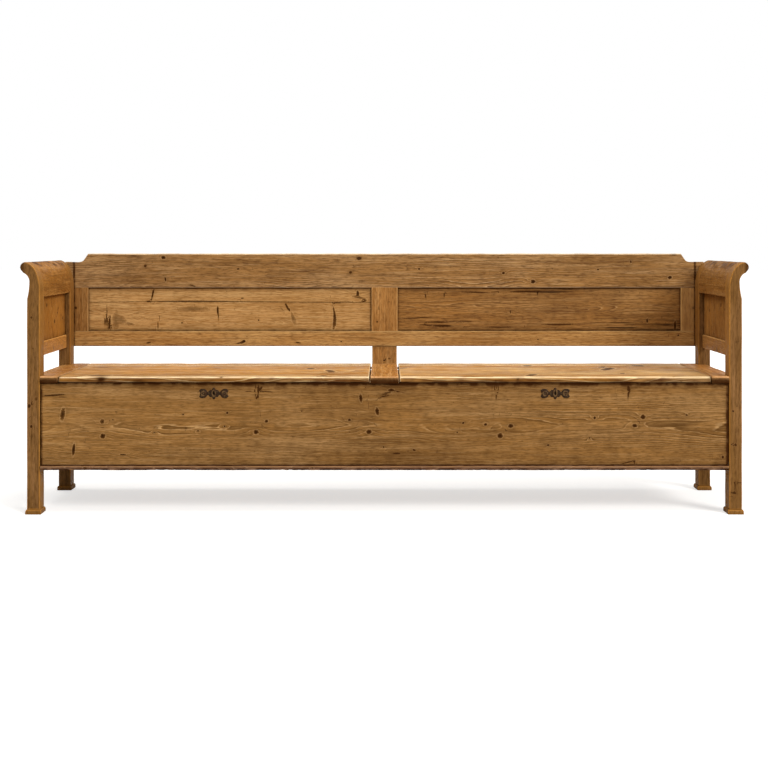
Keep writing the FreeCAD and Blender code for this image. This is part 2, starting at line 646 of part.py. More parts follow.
def make_pullout(hole):
    """Front panel and moulding, bed sides, slats and tie, and the fold-down legs on their pins."""
    across = (f"-{PANEL_OUT}", PANEL_OUT)
    pin_start = f"({PANEL_REAR} - leg_pin_depth)"
    leg_front = f"({PANEL_REAR} + leg_front_gap)"
    leg_rear = f"({leg_front} + leg_thick)"
    shank = rod("leg_pin_shank", "y", (LEG_OUT, pin_start, PIVOT_HIGH),
                f"{leg_rear} + leg_head_gap - ({pin_start})", "leg_pin_radius")
    head = rod("leg_pin_head", "y", (LEG_OUT, f"{leg_rear} + leg_head_gap", PIVOT_HIGH),
               "leg_head_thick", "leg_head_radius")
    pin = join("leg_pin", shank, head)
    pin_left = mirror("leg_pin_left", pin)
    keep("leg_pins", group("leg_pins", pin, pin_left))
    notch_y = (f"{PANEL_FRONT} - overrun", f"{PANEL_REAR} + overrun")
    notch_z = (NOTCH_FLOOR, f"{PANEL_TOP} + overrun")
    end_notch = board("panel_end_notch", (f"{STRIP_IN} - notch_side", f"{PANEL_OUT} + overrun"),
                      notch_y, notch_z)
    middle_notch = board("panel_middle_notch", (f"-{BLOCK_OUT} - notch_side", f"{BLOCK_OUT} + notch_side"),
                         notch_y, notch_z)
    panel = board("front_panel_blank", across, (PANEL_FRONT, PANEL_REAR), (PANEL_BOTTOM, PANEL_TOP))
    keep("front_panel", cut(
        "front_panel", panel, end_notch, mirror("panel_end_notch_left", end_notch), middle_notch,
        hole, mirror("keyhole_left", hole), pin, pin_left))
    nose_y = f"{PANEL_FRONT} - moulding_proud"
    keep("front_moulding", moulded("front_moulding", "x", [
        (PANEL_REAR, "box_bottom"),
        (PANEL_REAR, PANEL_BOTTOM),
        (f"{nose_y} + moulding_nose", PANEL_BOTTOM),
        (f"{nose_y} + moulding_nose", "box_bottom", nose_y, f"(box_bottom + {PANEL_BOTTOM}) / 2"),
    ], across[0], f"{PANEL_OUT} * 2"))
    both_sides("bed_side", board(
        "bed_side", (SIDE_IN, PANEL_OUT), (PANEL_REAR, SLAT_REAR), (SLIDE, f"{SLIDE} + side_high")))
    cross_x = (f"-{SIDE_IN}", SIDE_IN)
    cross_z = (f"{SLAT_SEAT} - cross_deep", SLIDE)
    keep("slat_cleat", board("slat_cleat", cross_x, (PANEL_REAR, f"{PANEL_REAR} + cross_wide"), cross_z))
    slat_out = f"({SIDE_IN} - slat_gap)"
    keep("slat_tie", board(
        "slat_tie", (f"-{slat_out}", slat_out), (f"{TIE_REAR} - cross_wide", TIE_REAR), cross_z))
    pitch = f"(({slat_out} * 2 + slat_gap) / slat_count)"
    bed_slats, fixed_slats = [], []
    for number in range(SIZES["slat_count"]):
        low = f"({pitch} * {number} - {slat_out})"
        width = (low, f"{low} + {pitch} - slat_gap")
        if number % 2:
            base = f"({SLAT_SEAT} + slat_slide * 2)"
            fixed_slats.append(board(f"fixed_slat_{number}", width, (BEARER_FRONT, BOARD_FRONT),
                                     (base, f"{base} + slat_thick")))
        else:
            bed_slats.append(board(f"bed_slat_{number}", width, (PANEL_REAR, SLAT_REAR),
                                   (SLIDE, f"{SLIDE} + slat_thick")))
    keep("bed_slats", group("bed_slats", *bed_slats))
    keep("fixed_slats", group("fixed_slats", *fixed_slats))
    keep("slat_bearer", board("slat_bearer", (f"-{BOARD_IN}", BOARD_IN), (BEARER_FRONT, BEARER_REAR),
                              (PANEL_BOTTOM, SLAT_SEAT)))
    keep("rear_slat_ledger", board("rear_slat_ledger", (f"-{INNER}", INNER),
                                   (REAR_LEDGER_FRONT, BOARD_FRONT), (f"{SLAT_SEAT} - cross_deep", SLAT_SEAT)))
    reach = f"({PIVOT_HIGH} - leg_floor_gap)"
    half = "leg_wide / 2"
    leg = moulded("prop_leg_blank", "y", [
        (LEG_OUT, f"{PIVOT_HIGH} - {half}"),
        (LEG_OUT, f"{PIVOT_HIGH} + {half}", f"{LEG_OUT} + {half}", PIVOT_HIGH),
        (f"{LEG_OUT} - {reach}", f"{PIVOT_HIGH} + {half}"),
        (f"{LEG_OUT} - {reach}", f"{PIVOT_HIGH} - {half}"),
    ], leg_front, "leg_thick")
    leg_bore = rod("leg_bore", "y", (LEG_OUT, f"{leg_front} - overrun", PIVOT_HIGH),
                   "leg_thick + overrun * 2", "leg_pin_radius + leg_pin_play")
    both_sides("prop_leg", cut("prop_leg", leg, leg_bore))


def check_document():
    """Stop if any object failed, or a piece has no valid solid."""
    for item in doc.Objects:
        if {"Invalid", "Error"} & set(item.State):
            raise RuntimeError(f"{item.Label} is {item.State}")
    for item in parts:
        if item.Shape.isNull() or not item.Shape.isValid() or not item.Shape.Solids:
            raise RuntimeError(f"{item.Label} has no valid shape")


make_posts(make_arms() + make_box())
make_back()
make_seat()
make_pullout(make_locks())
doc.recompute()
check_document()
os.makedirs("parts", exist_ok=True)
for item in parts:
    item.Shape.exportStep(os.path.join("parts", item.Label + ".step"))
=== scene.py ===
"""Pull-out bench bed in old waxed pine: the looks of every board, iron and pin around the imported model.

Lengths are metres: x to the right along the bench, y from the front to the back, z up. Every board is a
skin of quads worked out as whole arrays, and carries where it lay in its log, so that its grain is its own.
"""

import json
import math

import bpy
import numpy as np
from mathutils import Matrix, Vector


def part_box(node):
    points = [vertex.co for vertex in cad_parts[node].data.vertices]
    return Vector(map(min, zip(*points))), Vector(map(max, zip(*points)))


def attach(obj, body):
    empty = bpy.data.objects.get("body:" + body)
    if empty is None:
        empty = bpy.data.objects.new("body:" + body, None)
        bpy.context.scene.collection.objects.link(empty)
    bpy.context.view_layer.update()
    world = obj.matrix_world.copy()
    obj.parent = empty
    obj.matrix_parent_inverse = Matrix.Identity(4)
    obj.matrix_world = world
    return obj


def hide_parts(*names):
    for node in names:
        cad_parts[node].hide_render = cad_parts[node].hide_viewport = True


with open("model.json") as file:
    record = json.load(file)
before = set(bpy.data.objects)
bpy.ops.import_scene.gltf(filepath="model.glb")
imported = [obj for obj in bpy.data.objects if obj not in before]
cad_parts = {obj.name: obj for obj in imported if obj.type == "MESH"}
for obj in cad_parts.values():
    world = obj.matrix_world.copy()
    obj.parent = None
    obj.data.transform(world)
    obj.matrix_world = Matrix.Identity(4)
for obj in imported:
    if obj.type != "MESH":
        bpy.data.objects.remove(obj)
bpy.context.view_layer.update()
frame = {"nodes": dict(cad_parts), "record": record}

record = frame["record"]
BODY = {node: body for body, nodes in record["behaviour"]["bodies"].items() for node in nodes}
SIDES = (("left", -1), ("right", 1))

MM = 0.001
# The camera, from the perspective of the posts: the picture's side and the column and row that the level
# axis meets in pixels, the sensor and lens in mm, and the eye's height and distance in metres
PHOTO_SIDE = 768
SENSOR = 36
LENS = 64.2
AXIS_PX = 384.5
HORIZON_PX = 243.2
EYE_HIGH = 0.891
EYE_BACK = 4.7575

# The usual spacing of a board's grid lines, and of those on the boards seen closest
BOARD_STEP = 8 * MM
FINE_STEP = 5 * MM
# How round hands have worn an edge, how far in from it the wood is rubbed, and how deep the plane cut
HAND_WEAR = 2.2 * MM
WEAR_BAND = 4.5 * MM
PLANE_MARK = 0.35 * MM
# How far a stile reaches under the rails beside it, and how far it stands back from them
JOINT_LAP = 5 * MM
JOINT_STEP = 0.8 * MM
# Spots as dark as SCAR are scars, which the rings don't bend round. FAR_SPOT and NO_JOINT stand for the
# distance where a board has no spot or no glued joint.
SCAR = 0.75
FAR_SPOT = 9.0
NO_JOINT = 1.0

# Places that several boards share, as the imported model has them: a post's inner and outer side, the room
# between the front and rear posts, the arms' tops, the height of an arm panel's opening, the seat's top
# and front, the outer end of a lid and the inner edge of the strip beside it
INNER = 1.133
OUTER = 1.175
POST_GAP = (-0.1995, 0.1825)
ARM_TOP = 0.829
ARM_OPENING = (0.5615, 0.714)
SEAT_TOP = 0.453
SEAT_FRONT = -0.2595
LID_END = 1.072
STRIP_EDGE = 1.075


def drift(points, seed, size, octaves=3):
    """Smooth random drift, mostly between -1 and 1.

    The sum of sine waves of random direction, length near the size and phase, each octave half as high
    and half as long as the one before.
    """
    waves, usual_sum = 5, 2.4
    random = np.random.default_rng(seed)
    points = np.asarray(points, float).reshape(len(points), -1)
    total = np.zeros(len(points))
    for octave in range(octaves):
        for _ in range(waves):
            way = random.normal(size=points.shape[1])
            turns = random.uniform(0.7, 1.4) * 2 ** octave / size
            wave = points @ (way / np.linalg.norm(way)) * turns + random.uniform()
            total += np.sin(2 * np.pi * wave) / 2 ** octave
    return total / usual_sum


def stations(low, high, step, edge, extra=()):
    """Places of the grid lines along one side.

    They lie close together in the rounded edges, and about a step apart between.
    """
    edge = min(edge, (high - low) * 0.45)
    count = max(2, round((high - low - 2 * edge) / step) + 1)
    near = edge * np.array([0, 0.2, 0.55])
    between = np.linspace(low + edge, high - edge, count)
    places = np.concatenate([low + near, between, high - near, extra])
    places = np.unique(places.round(6))
    return places[(places >= low - 1e-6) & (places <= high + 1e-6)]


def lattice(x, y, z):
    """Points and outward quads of a box's skin, with a grid line at each place given along each axis."""
    skin = np.zeros((len(x), len(y), len(z)), bool)
    skin[[0, -1]] = True
    skin[:, [0, -1]] = True
    skin[:, :, [0, -1]] = True
    number = np.full(skin.shape, -1)
    number[skin] = np.arange(skin.sum())
    i, j, k = np.nonzero(skin)
    quads = []
    for axis in range(3):
        for end in (0, -1):
            sheet = np.take(number, end, axis)
            quad = np.stack([sheet[:-1, :-1], sheet[1:, :-1], sheet[1:, 1:], sheet[:-1, 1:]], -1)
            outward = (end == -1) != (axis == 1)
            quads.append(quad.reshape(-1, 4) if outward else quad.reshape(-1, 4)[:, ::-1])
    return np.column_stack([x[i], y[j], z[k]]), np.concatenate(quads)


def worn(points, low, high, radii, seed, out):
    """A box's skin with soft edges, how near each point is to an edge, and which way it faces.

    The core point q is p held inside the box less its radii r. The point moves to q + r d / |d|, where
    d = (p - q) / r, so flat faces stay and edges become ellipses. The radii drift along the edges, and
    the two faces out of the board are planed a little unevenly.
    """
    low, high = np.asarray(low), np.asarray(high)
    walls = np.sort(np.minimum(points - low, high - points), axis=1)
    near = np.clip(1 - walls[:, 1] / WEAR_BAND, 0, 1)
    radii = np.broadcast_to(radii, points.shape) * (1 + 0.4 * drift(points, seed, 0.22))[:, None]
    radii = np.clip(radii, 0.2 * MM, (high - low) * 0.499)
    core = np.clip(points, low + radii, high - radii)
    away = (points - core) / radii
    away /= np.maximum(np.linalg.norm(away, axis=1, keepdims=True), 1e-9)
    moved = core + away * radii
    planed = PLANE_MARK * np.clip(1 + drift(points, seed + 1, 0.11, 2), 0, 2)
    moved[:, out] -= away[:, out] * planed
    return moved, near, away


def nearest_spot(along, across, spots):
    """For each point, its place in the nearest spot's own ellipse, and that spot's darkness.

    A spot is (along, across, half length, half width, tilt in degrees, darkness), and may end with a
    taper, by which it is wider towards one end of its width, and a bow, which bends it. Its rim is at 1.
    """
    best = np.full(len(along), FAR_SPOT ** 2)
    found = np.column_stack([np.full(len(along), FAR_SPOT), np.zeros(len(along)), np.zeros(len(along))])
    for spot_along, spot_across, half_long, half_wide, tilt, dark, *form in spots:
        taper, bow = form or (0, 0)
        turn = math.radians(tilt)
        u = ((along - spot_along) * math.cos(turn) + (across - spot_across) * math.sin(turn)) / half_long
        v = ((across - spot_across) * math.cos(turn) - (along - spot_along) * math.sin(turn)) / half_wide
        u = (u - bow * v ** 2) / np.clip(1 + taper * v, 0.25, None)
        near = u ** 2 + v ** 2 < best
        best[near] = (u ** 2 + v ** 2)[near]
        found[near] = np.column_stack([u, v, np.full(len(u), dark)])[near]
    return found


def rings(along, across, out, pith, width, seed, spots, wander):
    """Annual rings counted from a wandering pith: the distance from the pith over the ring's width.

    Each knot adds a bump, long with the grain, so that the rings run round it.
    """
    line = along[:, None]
    centre = pith[0] + wander * drift(line, seed, 1.1, 2)
    depth = pith[1] + wander * drift(line, seed + 1, 0.9, 2)
    waved = drift(np.column_stack([along / 6, across, out]), seed + 2, 0.09, 2) * 0.8 * MM
    count = (np.hypot(across - centre, out - depth) + waved) / width
    for spot_along, spot_across, half_long, half_wide, _, dark, *_ in spots:
        if dark < SCAR:
            size = max(half_long, half_wide)
            far = ((along - spot_along) / (4 * size)) ** 2 + ((across - spot_across) / (1.8 * size)) ** 2
            count += 1.5 * np.exp(-far)
    return count


def chance_spots(seed, count, along, across, size=4.5 * MM):
    """A few small knots by chance, within the ranges given."""
    random = np.random.default_rng(seed)
    places = random.uniform((along[0], across[0]), (along[1], across[1]), (count, 2))
    sizes = size * random.uniform(0.5, 1.5, count)
    return [(a, c, s * random.uniform(1, 1.5), s, random.uniform(-20, 20), random.uniform(0.2, 0.6))
            for (a, c), s in zip(places, sizes)]


def finish_piece(node, points, quads, material, marks=None):
    """A mesh of the points and quads, with its marks as attributes, that rides and stands for its node."""
    mesh = bpy.data.meshes.new(node + "_dressed")
    mesh.from_pydata(points.tolist(), [], quads.tolist())
    mesh.shade_smooth()
    for label, values in (marks or {}).items():
        kind, data = ("FLOAT", "value") if values.ndim == 1 else ("FLOAT_VECTOR", "vector")
        layer = mesh.attributes.new(label, kind, "POINT")
        layer.data.foreach_set(data, np.ascontiguousarray(values, np.float32).ravel())
    mesh.materials.append(material)
    piece = bpy.data.objects.new(node + "_dressed", mesh)
    bpy.context.scene.collection.objects.link(piece)
    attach(piece, BODY[node])
    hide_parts(node)
    return piece


def bare_below(piece, top):
    """Leave a piece's faces that look down, up to a height, as bare planed pine."""
    mesh = piece.data
    mesh.materials.append(PINE["inner"])
    middles, normals = (np.zeros(len(mesh.polygons) * 3, np.float32) for _ in range(2))
    mesh.polygons.foreach_get("center", middles)
    mesh.polygons.foreach_get("normal", normals)
    below = (middles[2::3] < top) & (normals[2::3] < -0.7)
    mesh.polygons.foreach_set("material_index", below.astype(np.int32))


def board_skin(low, high, axes, seed, pith=None, ring=4 * MM, radii=HAND_WEAR, step=BOARD_STEP, spots=(),
               edge=5 * MM, extra=((), (), ()), bend=None, soil=None, rub=None, joint=None, wander=10 * MM):
    """Points, quads and marks of one board.

    axes names which axis runs along the grain, which across it and which out of the face. bend moves the
    points of the worn box to the board's own shape. The soil given is the grime and painted shade at each
    point, the rub how much it is rubbed pale and painted lighter, by where it is and which way it faces,
    and joint the distance from a glued joint.
    """
    low, high = np.array(low, float), np.array(high, float)
    grid = [stations(low[n], high[n], step, edge, extra[n]) for n in range(3)]
    points, quads = lattice(*grid)
    size = radii(points, low, high) if callable(radii) else radii
    points, near, away = worn(points, low, high, size, seed, axes[2])
    if bend:
        points = bend(points)
    along, across, out = (points[:, n] for n in axes)
    if pith is None:
        pith = ((low[axes[1]] + high[axes[1]]) / 2, low[axes[2]] - 45 * MM)
    start = np.random.default_rng(seed).uniform(-5, 5, 3)
    end = np.clip(np.abs(away[:, axes[0]]) * 1.3 - 0.3, 0, 1)
    grime_and_shade = np.clip(soil(points), 0, 1) if soil else np.zeros(len(points))
    rubbed = np.clip(rub(points, away), 0, 1) if rub else np.zeros(len(points))
    near = np.clip(near + rubbed, 0, 1)
    marks = {
        "log": np.column_stack([along, across, out]) + start,
        "ring": rings(along, across, out, pith, ring, seed, spots, wander),
        # The next mark: edges rubbed pale and painted lighter, the end grain, and grime with painted shade.
        "age_and_painted_light": np.column_stack([near * (1 - grime_and_shade), end * (1 - rubbed), grime_and_shade]),
        "spot": nearest_spot(along, across, spots),
        "joint": joint(points) if joint else np.full(len(points), NO_JOINT),
    }
    return points, quads, marks


def make_board(node, axes, seed, material, low=None, high=None, **shape):
    """One board that stands for a node, as large as the node's box."""
    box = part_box(node)
    points, quads, marks = board_skin(low or box[0], high or box[1], axes, seed, **shape)
    return finish_piece(node, points, quads, material, marks)


def evenly(share):
    """A share of grime, rubbing, painted shade and painted light that is the same all over a board."""
    return lambda points, *away: np.full(len(points), share)


def joined(skins):
    """Several skins as one: points, quads and marks."""
    sizes = [len(points) for points, _, _ in skins]
    starts = np.concatenate([[0], np.cumsum(sizes)[:-1]])
    points = np.concatenate([points for points, _, _ in skins])
    quads = np.concatenate([quads + start for (_, quads, _), start in zip(skins, starts)])
    marks = {label: np.concatenate([marks[label] for _, _, marks in skins]) for label in skins[0][2]}
    return points, quads, marks


def make_boards(node, boxes, axes, seed, material, **shape):
    """Several boards of one node as one piece."""
    skins = [board_skin(low, high, axes, seed + 7 * number, **shape)
             for number, (low, high) in enumerate(boxes)]
    points, quads, marks = joined(skins)
    return finish_piece(node, points, quads, material, marks)


def islands(node, axis):
    """The boxes of a node's separate boards, which lie side by side along an axis."""
    mesh = frame["nodes"][node].data
    places = np.zeros(len(mesh.vertices) * 3, np.float32)
    mesh.vertices.foreach_get("co", places)
    edges = np.unique(places.reshape(-1, 3)[:, axis].round(5))
    low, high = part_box(node)
    boxes = []
    for first, last in zip(edges[::2], edges[1::2]):
        box_low, box_high = list(low), list(high)
        box_low[axis], box_high[axis] = float(first), float(last)
        boxes.append((box_low, box_high))
    return boxes


def linear(hex_colour):
    """An sRGB hex colour as linear light."""
    shares = [int(hex_colour[n:n + 2], 16) / 255 for n in (0, 2, 4)]
    light = [((share + 0.055) / 1.055) ** 2.4 if share > 0.04045 else share / 12.92 for share in shares]
    return (*light, 1.0)


def add(tree, kind, sockets=None, **settings):
    """Add a shader node with its settings; a socket takes a number, a colour or another node's output."""
    node = tree.nodes.new("ShaderNode" + kind)
    for name, setting in settings.items():
        setattr(node, name, setting)
    for name, given in (sockets or {}).items():
        if isinstance(given, bpy.types.NodeSocket):
            tree.links.new(given, node.inputs[name])
        else:
            node.inputs[name].default_value = given
    return node.outputs


def new_material(name):
    """A material with an empty shader that the caller fills, and its surface socket."""
    material = bpy.data.materials.new(name)
    material.use_nodes = True
    tree = material.node_tree
    tree.nodes.clear()
    output = tree.nodes.new("ShaderNodeOutputMaterial")
    return material, tree, output.inputs["Surface"]


# Clouds drawn out along the grain: waves per metre along and across it, detail, and where the cloud
# starts and is full
CLOUDS = {
    "wobble": (5, 60, 2, 0.0, 1.0),
    "figure": (1.3, 15, 2, 0.40, 0.68),
    "tone": (1.5, 6, 3, 0.42, 0.66),
    "pale": (2.2, 8, 2, 0.50, 0.72),
    "streak": (1.7, 38, 3, 0.45, 0.70),
    "pale_streak": (2.0, 46, 3, 0.50, 0.72),
    "fine": (6, 150, 3, 0.46, 0.72),
    "pale_fine": (7, 180, 2, 0.50, 0.74),
    "fibre": (45, 330, 3, 0.42, 0.74),
    "blotch": (14, 34, 4, 0.50, 0.72),
    "dash": (32, 120, 2, 0.56, 0.70),
    "plane_band": (5, 5, 3, 0.46, 0.70),
    "fleck": (45, 260, 2, 0.66, 0.76),
    "dent": (75, 75, 2, 0.69, 0.76),
    "patch": (30, 34, 4, 0.40, 0.62),
    "ragged": (190, 210, 2, 0.0, 1.0),
    "open": (6, 170, 4, 0.50, 0.62),
    "open_place": (2.2, 13, 2, 0.47, 0.62),
}


def pine(name, early, late, stain, rubbed, contrast=0.6, rough=0.46, open_grain=0.0, end="4A2E1A",
         spread=1.0, edge=None):
    """Old pine, hand planed and waxed, darkened by age.

    The eye sees soft earlywood between thin dark latewood lines with a rubbed pale line beside each,
    streaks and blotches where the wax took unevenly, brown knots with dark hearts, edges rubbed pale with
    painted highlights on some, and grime with painted shade in the corners, gaps and undersides. The finest
    fibres are drawn 3 mm wide, as coarse as they need to show, and a spread under 1 draws all of it wider
    on the seat, which is only seen at a slant.
    """
    material, tree, surface = new_material(name)
    mark = {label: add(tree, "Attribute", attribute_name=label)
            for label in ("log", "ring", "age_and_painted_light", "spot", "joint")}
    near, ends, grime_and_shade = list(add(tree, "SeparateXYZ", {0: mark["age_and_painted_light"]["Vector"]}))
    spot_u, spot_v, spot_dark = list(add(tree, "SeparateXYZ", {0: mark["spot"]["Vector"]}))

    share = {}
    for label, (along, across, detail, low, high) in CLOUDS.items():
        waves = (along * spread, across * spread, across * spread)
        place = add(tree, "VectorMath", {0: mark["log"]["Vector"], 1: waves}, operation="MULTIPLY")
        raw = add(tree, "TexNoise", {"Vector": place[0], "Scale": 1.0, "Detail": detail})["Fac"]
        share[label] = add(tree, "MapRange", {"Value": raw, "From Min": low, "From Max": high},
                           interpolation_type="SMOOTHSTEP")[0]

    turn = add(tree, "Math", {0: share["wobble"], 1: 0.8, 2: mark["ring"]["Fac"]},
               operation="MULTIPLY_ADD")[0]
    turn = add(tree, "Math", {0: turn}, operation="FRACT")[0]
    flat = add(tree, "CombineXYZ", {"X": spot_u, "Y": spot_v})[0]
    reach = add(tree, "VectorMath", {0: flat}, operation="LENGTH")["Value"]
    reach = add(tree, "Math", {0: share["ragged"], 1: 0.7, 2: reach}, operation="MULTIPLY_ADD")[0]
    seam = add(tree, "Math", {0: mark["joint"]["Fac"]}, operation="ABSOLUTE")[0]
    seam = add(tree, "Math", {0: share["ragged"], 1: 1.0 * MM, 2: seam}, operation="MULTIPLY_ADD")[0]
    for label, value, low, high in (
            ("rise", turn, 0.58, 0.92), ("fall", turn, 1.0, 0.95), ("rubbed_line", turn, 0.20, 0.03),
            ("halo", reach, 3.4, 1.2), ("collar_rise", reach, 1.3, 1.55), ("collar_fall", reach, 1.95, 1.6),
            ("knot", reach, 1.6, 1.1), ("heart", reach, 1.25, 0.4), ("sound", spot_dark, SCAR, SCAR - 0.02),
            ("faint", spot_dark, 0.4, 0.25), ("crack", seam, 2.4 * MM, 1.0 * MM)):
        share[label] = add(tree, "MapRange", {"Value": value, "From Min": low, "From Max": high},
                           interpolation_type="SMOOTHSTEP")[0]
    figure = add(tree, "Math", {0: share["figure"], 1: 0.85, 2: 0.15}, operation="MULTIPLY_ADD")[0]
    uneven = add(tree, "Math", {0: share["patch"], 1: 0.3, 2: 0.7}, operation="MULTIPLY_ADD")[0]
    for label, first, second in (
            ("late", share["rise"], share["fall"]), ("late", "late", figure),
            ("rubbed_line", share["rubbed_line"], figure),
            ("collar", share["collar_rise"], share["collar_fall"]), ("collar", "collar", share["sound"]),
            ("heart", share["heart"], share["sound"]), ("open", share["open"], share["open_place"]),
            ("near", near, uneven), ("grime_and_shade", grime_and_shade, uneven)):
        first = share[first] if isinstance(first, str) else first
        share[label] = add(tree, "Math", {0: first, 1: second}, operation="MULTIPLY")[0]
    share["ends"] = ends
    faint = add(tree, "Math", {0: share["faint"], 1: -0.6, 2: 1.0}, operation="MULTIPLY_ADD")[0]
    for label in ("knot", "heart", "collar", "halo"):
        share[label] = add(tree, "Math", {0: share[label], 1: faint}, operation="MULTIPLY")[0]
    knot_colour = add(tree, "Mix", {0: spot_dark, 6: linear("54300A"), 7: linear("2C1402")},
                      data_type="RGBA")[2]

    colour = linear(early)
    for label, most, shade in (
            ("tone", 0.32, stain), ("pale", 0.32, rubbed), ("plane_band", 0.3, stain),
            ("blotch", 0.3, stain), ("streak", 0.25, stain), ("pale_streak", 0.25, rubbed),
            ("late", 0.8 * contrast, late),
            ("rubbed_line", contrast, rubbed), ("dash", 0.35, stain), ("fine", 0.36, late),
            ("pale_fine", 0.36, rubbed), ("fibre", 0.55, late), ("fleck", 0.5, "3A2412"),
            ("dent", 0.4, "3A2412"), ("open", open_grain, "2E1A0A"), ("halo", 0.3, stain),
            ("collar", 0.3, rubbed), ("knot", 0.92, knot_colour), ("heart", 0.8, "160800"),
            # near paints rubbed edges with painted highlights; the dark 341802 paints grime and painted
            # shade in gaps, corners and undersides
            ("crack", 0.85, "2A1507"), ("near", 0.8, edge or rubbed), ("ends", 0.8, end),
            ("grime_and_shade", 1.2, "341802")):
        amount = add(tree, "Math", {0: share[label], 1: most}, operation="MULTIPLY")[0]
        shade = linear(shade) if isinstance(shade, str) else shade
        colour = add(tree, "Mix", {0: amount, 6: colour, 7: shade}, data_type="RGBA")[2]

    height = share["fibre"]
    for label, rise in (("late", 0.6), ("open", -1.2), ("knot", -0.6), ("crack", -2.0), ("dent", -1.0)):
        height = add(tree, "Math", {0: share[label], 1: rise, 2: height}, operation="MULTIPLY_ADD")[0]
    bump = add(tree, "Bump", {"Strength": 0.4, "Distance": 0.6 * MM, "Height": height})[0]
    gloss = add(tree, "Math", {0: share["patch"], 1: 0.16, 2: rough}, operation="MULTIPLY_ADD")[0]
    shader = add(tree, "BsdfPrincipled", {
        "Base Color": colour, "Roughness": gloss, "Normal": bump, "Specular IOR Level": 0.03})[0]
    tree.links.new(shader, surface)
    return material


PINE = {
    "front": pine("waxed_pine_front", "A4753E", "523514", "704D27", "CC9F68", 1.2),
    # The crest's pale edge colour paints the highlight along its top as well as the rubbed wear.
    "crest": pine("waxed_pine_crest", "9B7140", "341609", "5E3C18", "C9A372", 1.0, edge="F2D6AE"),
    "rail": pine("waxed_pine_rails", "A6753E", "4C290D", "724A1F", "CB9F64", 0.5),
    "low_rail": pine("waxed_pine_low_rail", "B4854A", "542F14", "7C5327", "DDB475", 0.6),
    "left_panel": pine("waxed_pine_pale", "BA8E57", "6B461D", "895C27", "D5B078", 0.6),
    "right_panel": pine("waxed_pine_dark", "996B36", "3B1A0B", "5F4226", "B98F59", 0.65, open_grain=0.9),
    "post": pine("waxed_pine_posts", "7E582C", "40260B", "5A3A1B", "A4784D", 0.6, edge="B47A32"),
    # The two arms' colours are lit and shaded copies of one pine: the left arm's paler, painted light on the
    # inner side the lamp faces, the right arm's darker, painted shade.
    "arm_left": pine("waxed_pine_left_arm_painted_lit", "A76F2C", "56310E", "784C22", "D19752", 0.7),
    "arm_right": pine("waxed_pine_right_arm_painted_shade", "99672D", "502E0E", "6D4723", "BD8D54", 0.7),
    # The seat's pale edge colour paints the highlight on its rounded front edge as well as the rubbed wear.
    "seat": pine("waxed_pine_seat", "C48A42", "451A0B", "62350D", "F1D197", 0.62, 0.4, spread=0.6,
                 edge="FFE3B4"),
    "strip": pine("waxed_pine_strips", "AC7636", "5C3210", "824C22", "DCAA6E", 0.7, 0.4, end="20100A",
                  spread=0.5, edge="DDA873"),
    "inner": pine("bare_planed_pine", "BC9560", "93693A", "A27A48", "C8A676", 0.6, 0.62),
    "moulding": pine("waxed_pine_moulding", "7A5841", "402212", "513621", "A07F62", 0.6, edge="B98A5A"),
}


def plain_pine(name, stretch):
    """Bare planed pine of small inner pieces: fine straight streaks along the grain, dull."""
    material, tree, surface = new_material(name)
    place = add(tree, "TexCoord")["Object"]
    place = add(tree, "Mapping", {"Vector": place, "Scale": stretch})[0]
    streaks = add(tree, "TexNoise", {"Vector": place, "Scale": 1.0, "Detail": 4.0})["Fac"]
    share = add(tree, "MapRange", {"Value": streaks, "From Min": 0.35, "From Max": 0.7})[0]
    colour = add(tree, "Mix", {0: share, 6: linear("BC9560"), 7: linear("8E673A")}, data_type="RGBA")[2]
    bump = add(tree, "Bump", {"Strength": 0.3, "Distance": 0.5 * MM, "Height": streaks})[0]
    shader = add(tree, "BsdfPrincipled", {"Base Color": colour, "Roughness": 0.62, "Normal": bump})[0]
    tree.links.new(shader, surface)
    return material


def iron(name, dark, light, rust, metallic, rough):
    """Old iron: dark and dull in the hollows, rubbed greyer on the high places, with a little rust."""
    material, tree, surface = new_material(name)
    place = add(tree, "TexCoord")["Object"]
    patches = add(tree, "TexNoise", {"Vector": place, "Scale": 160.0, "Detail": 4.0})["Fac"]
    colour = linear(dark)
    raised = add(tree, "Attribute", attribute_name="raised")["Fac"]
    high_place = add(tree, "Math", {0: raised, 1: 0.3, 2: patches}, operation="MULTIPLY_ADD")[0]
    for value, low, high, shade in ((high_place, 0.5, 0.85, light), (patches, 0.50, 0.36, rust)):
        share = add(tree, "MapRange", {"Value": value, "From Min": low, "From Max": high})[0]
        colour = add(tree, "Mix", {0: share, 6: colour, 7: linear(shade)}, data_type="RGBA")[2]
    pits = add(tree, "TexNoise", {"Vector": place, "Scale": 700.0, "Detail": 2.0})["Fac"]
    bump = add(tree, "Bump", {"Strength": 0.4, "Distance": 0.3 * MM, "Height": pits})[0]
    gloss = add(tree, "Math", {0: patches, 1: 0.25, 2: rough}, operation="MULTIPLY_ADD")[0]
    shader = add(tree, "BsdfPrincipled", {
        "Base Color": colour, "Roughness": gloss, "Metallic": metallic, "Specular IOR Level": 0.1,
        "Normal": bump})[0]
    tree.links.new(shader, surface)
    return material


FORGED_IRON = iron("forged_iron_waxed", "1A1006", "62482A", "341C06", 0.0, 0.42)
OLD_STEEL = iron("old_steel_dull", "38342F", "5E5A54", "4A3424", 0.7, 0.45)
INNER_X = plain_pine("bare_pine_along_x", (6.0, 120.0, 120.0))
INNER_Y = plain_pine("bare_pine_along_y", (120.0, 6.0, 120.0))

# Along the grain, across it, out of the face
LONG_FRONT = (0, 2, 1)
LONG_TOP = (0, 1, 2)
DEEP_SIDE = (1, 2, 0)
DEEP_TOP = (1, 0, 2)
TALL_FRONT = (2, 0, 1)
TALL_SIDE = (2, 1, 0)


